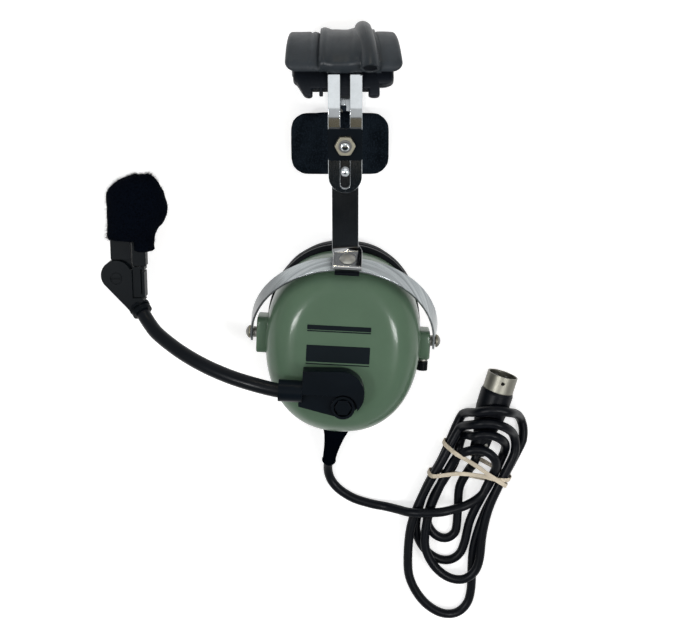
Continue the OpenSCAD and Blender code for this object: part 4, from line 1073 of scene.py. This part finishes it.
for i, p in enumerate(path):
    t = (path[(i + 1) % len(path)] - path[i - 1]).normalized()
    across = Vector((0, 1, 0))
    across = (across - across.dot(t) * t).normalized()
    n = across.cross(t)
    w, h, flat = BAND_HALF + 0.15 * noise.noise(p * 0.3), BAND_T / 2, 0.1
    rings.append([p + across * x + n * y for x, y in (
        (w - 0.12, h), (w, flat), (w, -flat), (w - 0.12, -h),
        (0.12 - w, -h), (-w, -flat), (-w, flat), (0.12 - w, h))])
build("band_ribbon", *skin(rings, closed=True), HANK, "tan", "ear_cup", "band_rubber",
      ("rubber_band",), 50)

# ---------------- stage

floor_mesh = bpy.data.meshes.new("floor")
FLOOR_HALF, FLOOR_Z = 3, -0.0002
floor_mesh.from_pydata([(x * FLOOR_HALF, y * FLOOR_HALF, FLOOR_Z)
                        for x, y in ((-1, -1), (1, -1), (1, 1), (-1, 1))], [], [(0, 1, 2, 3)])
floor = bpy.data.objects.new("floor", floor_mesh)
bpy.context.scene.collection.objects.link(floor)
m, t, b = bag("floor_white")
b.inputs["Base Color"].default_value = (0.82, 0.82, 0.82, 1)
b.inputs["Roughness"].default_value = 0.9
b.inputs["Specular IOR Level"].default_value = 0.1
# It glows only for what looks at it: the camera, shiny surfaces and clear ones
path = node(t, "LightPath")
seen = node(t, "Math", {0: path.outputs["Is Camera Ray"], 1: path.outputs["Is Glossy Ray"]},
            operation="MAXIMUM").outputs[0]
seen = node(t, "Math", {0: seen, 1: path.outputs["Is Transmission Ray"]},
            operation="MAXIMUM").outputs[0]
glow = node(t, "Emission", {"Color": (1, 1, 1, 1)})
t.links.new(spread(t, seen, 0, 0.55), glow.inputs["Strength"])
both = node(t, "AddShader", {0: b.outputs[0], 1: glow.outputs[0]})
t.links.new(both.outputs[0], t.nodes["Material Output"].inputs[0])
floor.data.materials.append(m)

# A pale room with a dark patch above, past the foot of the cord, which the flat bands mirror
world = bpy.data.worlds.new("world")
bpy.context.scene.world = world
world.use_nodes = True
wt = world.node_tree
wt.nodes.clear()
wout = wt.nodes.new("ShaderNodeOutputWorld")
wbg = wt.nodes.new("ShaderNodeBackground")
wt.links.new(wbg.outputs[0], wout.inputs[0])
ray = node(wt, "TexCoord").outputs["Generated"]
axes = node(wt, "SeparateXYZ", {0: ray}).outputs
up = axes["Z"]
rise = node(wt, "Math", {0: axes["Y"], 1: up}, operation="DIVIDE").outputs[0]
rise = node(wt, "Math", {0: rise, 1: -0.8}, operation="MULTIPLY").outputs[0]
aside = node(wt, "Math", {0: axes["X"], 1: up}, operation="DIVIDE").outputs[0]
aside = node(wt, "Math", {0: aside}, operation="ABSOLUTE").outputs[0]
cover = ramp(wt, rise, [(0.268, grey(0)), (0.275, grey(1)), (0.8, grey(1)), (0.85, grey(0))])
narrow = ramp(wt, aside, [(0.33, grey(1)), (0.42, grey(0))])
above = ramp(wt, up, [(0.05, grey(0)), (0.1, grey(1))])
dark = node(wt, "Math", {0: cover, 1: narrow}, operation="MULTIPLY").outputs[0]
dark = node(wt, "Math", {0: dark, 1: above}, operation="MULTIPLY").outputs[0]
tone = ramp(wt, rise, [(0.286, grey(0.012)), (0.29, (0.32, 0.26, 0.16, 1)),
                       (0.31, (0.22, 0.18, 0.11, 1)), (0.32, (0.004, 0.009, 0.014, 1)),
                       (0.385, (0.004, 0.009, 0.014, 1)), (0.41, (0.05, 0.06, 0.068, 1))])
light = ramp(wt, up, [(0.0, grey(0.75)), (0.35, grey(0.9)), (0.75, grey(0.8)), (1.0, grey(0.8))])
wt.links.new(mixed(wt, dark, light, tone), wbg.inputs["Color"])
wbg.inputs["Strength"].default_value = 0.7


def area(name, place, aim, size, power, color=(1, 1, 1)):
    """Area lamp aimed at a point."""
    lamp = bpy.data.lights.new(name, "AREA")
    lamp.shape = "RECTANGLE"
    lamp.size, lamp.size_y = size
    lamp.energy = power
    lamp.color = color
    o = bpy.data.objects.new(name, lamp)
    bpy.context.scene.collection.objects.link(o)
    o.location = place
    o.rotation_euler = (Vector(aim) - Vector(place)).to_track_quat("-Z", "Y").to_euler()
    return o


area("window_left", (-0.5, -0.1, 1.1), (0.02, -0.04, 0.05), (0.09, 0.18), 2.3)
area("window_right", (0.6, -0.2, 1.05), (0.06, -0.04, 0.05), (0.12, 0.2), 2.5)
# Panes that only show as reflections, larger than the windows' own lamps
for side, x, y in (("left", -0.5, -0.1), ("right", 0.6, -0.2)):
    pane = area("pane_" + side, (x, y, 1.1), (0.04, -0.04, 0.05), (0.17, 0.3), 6.0)
    pane.visible_diffuse = False
area("warm_lamp", (0.04, 1.08, 0.5), (0.04, -0.02, 0.05), (0.1, 0.1), 1.1, (1, 0.88, 0.65))
area("key", (0.2, 0.72, 1.5), (0.04, 0, 0.03), (1.3, 1.6), 3.3)
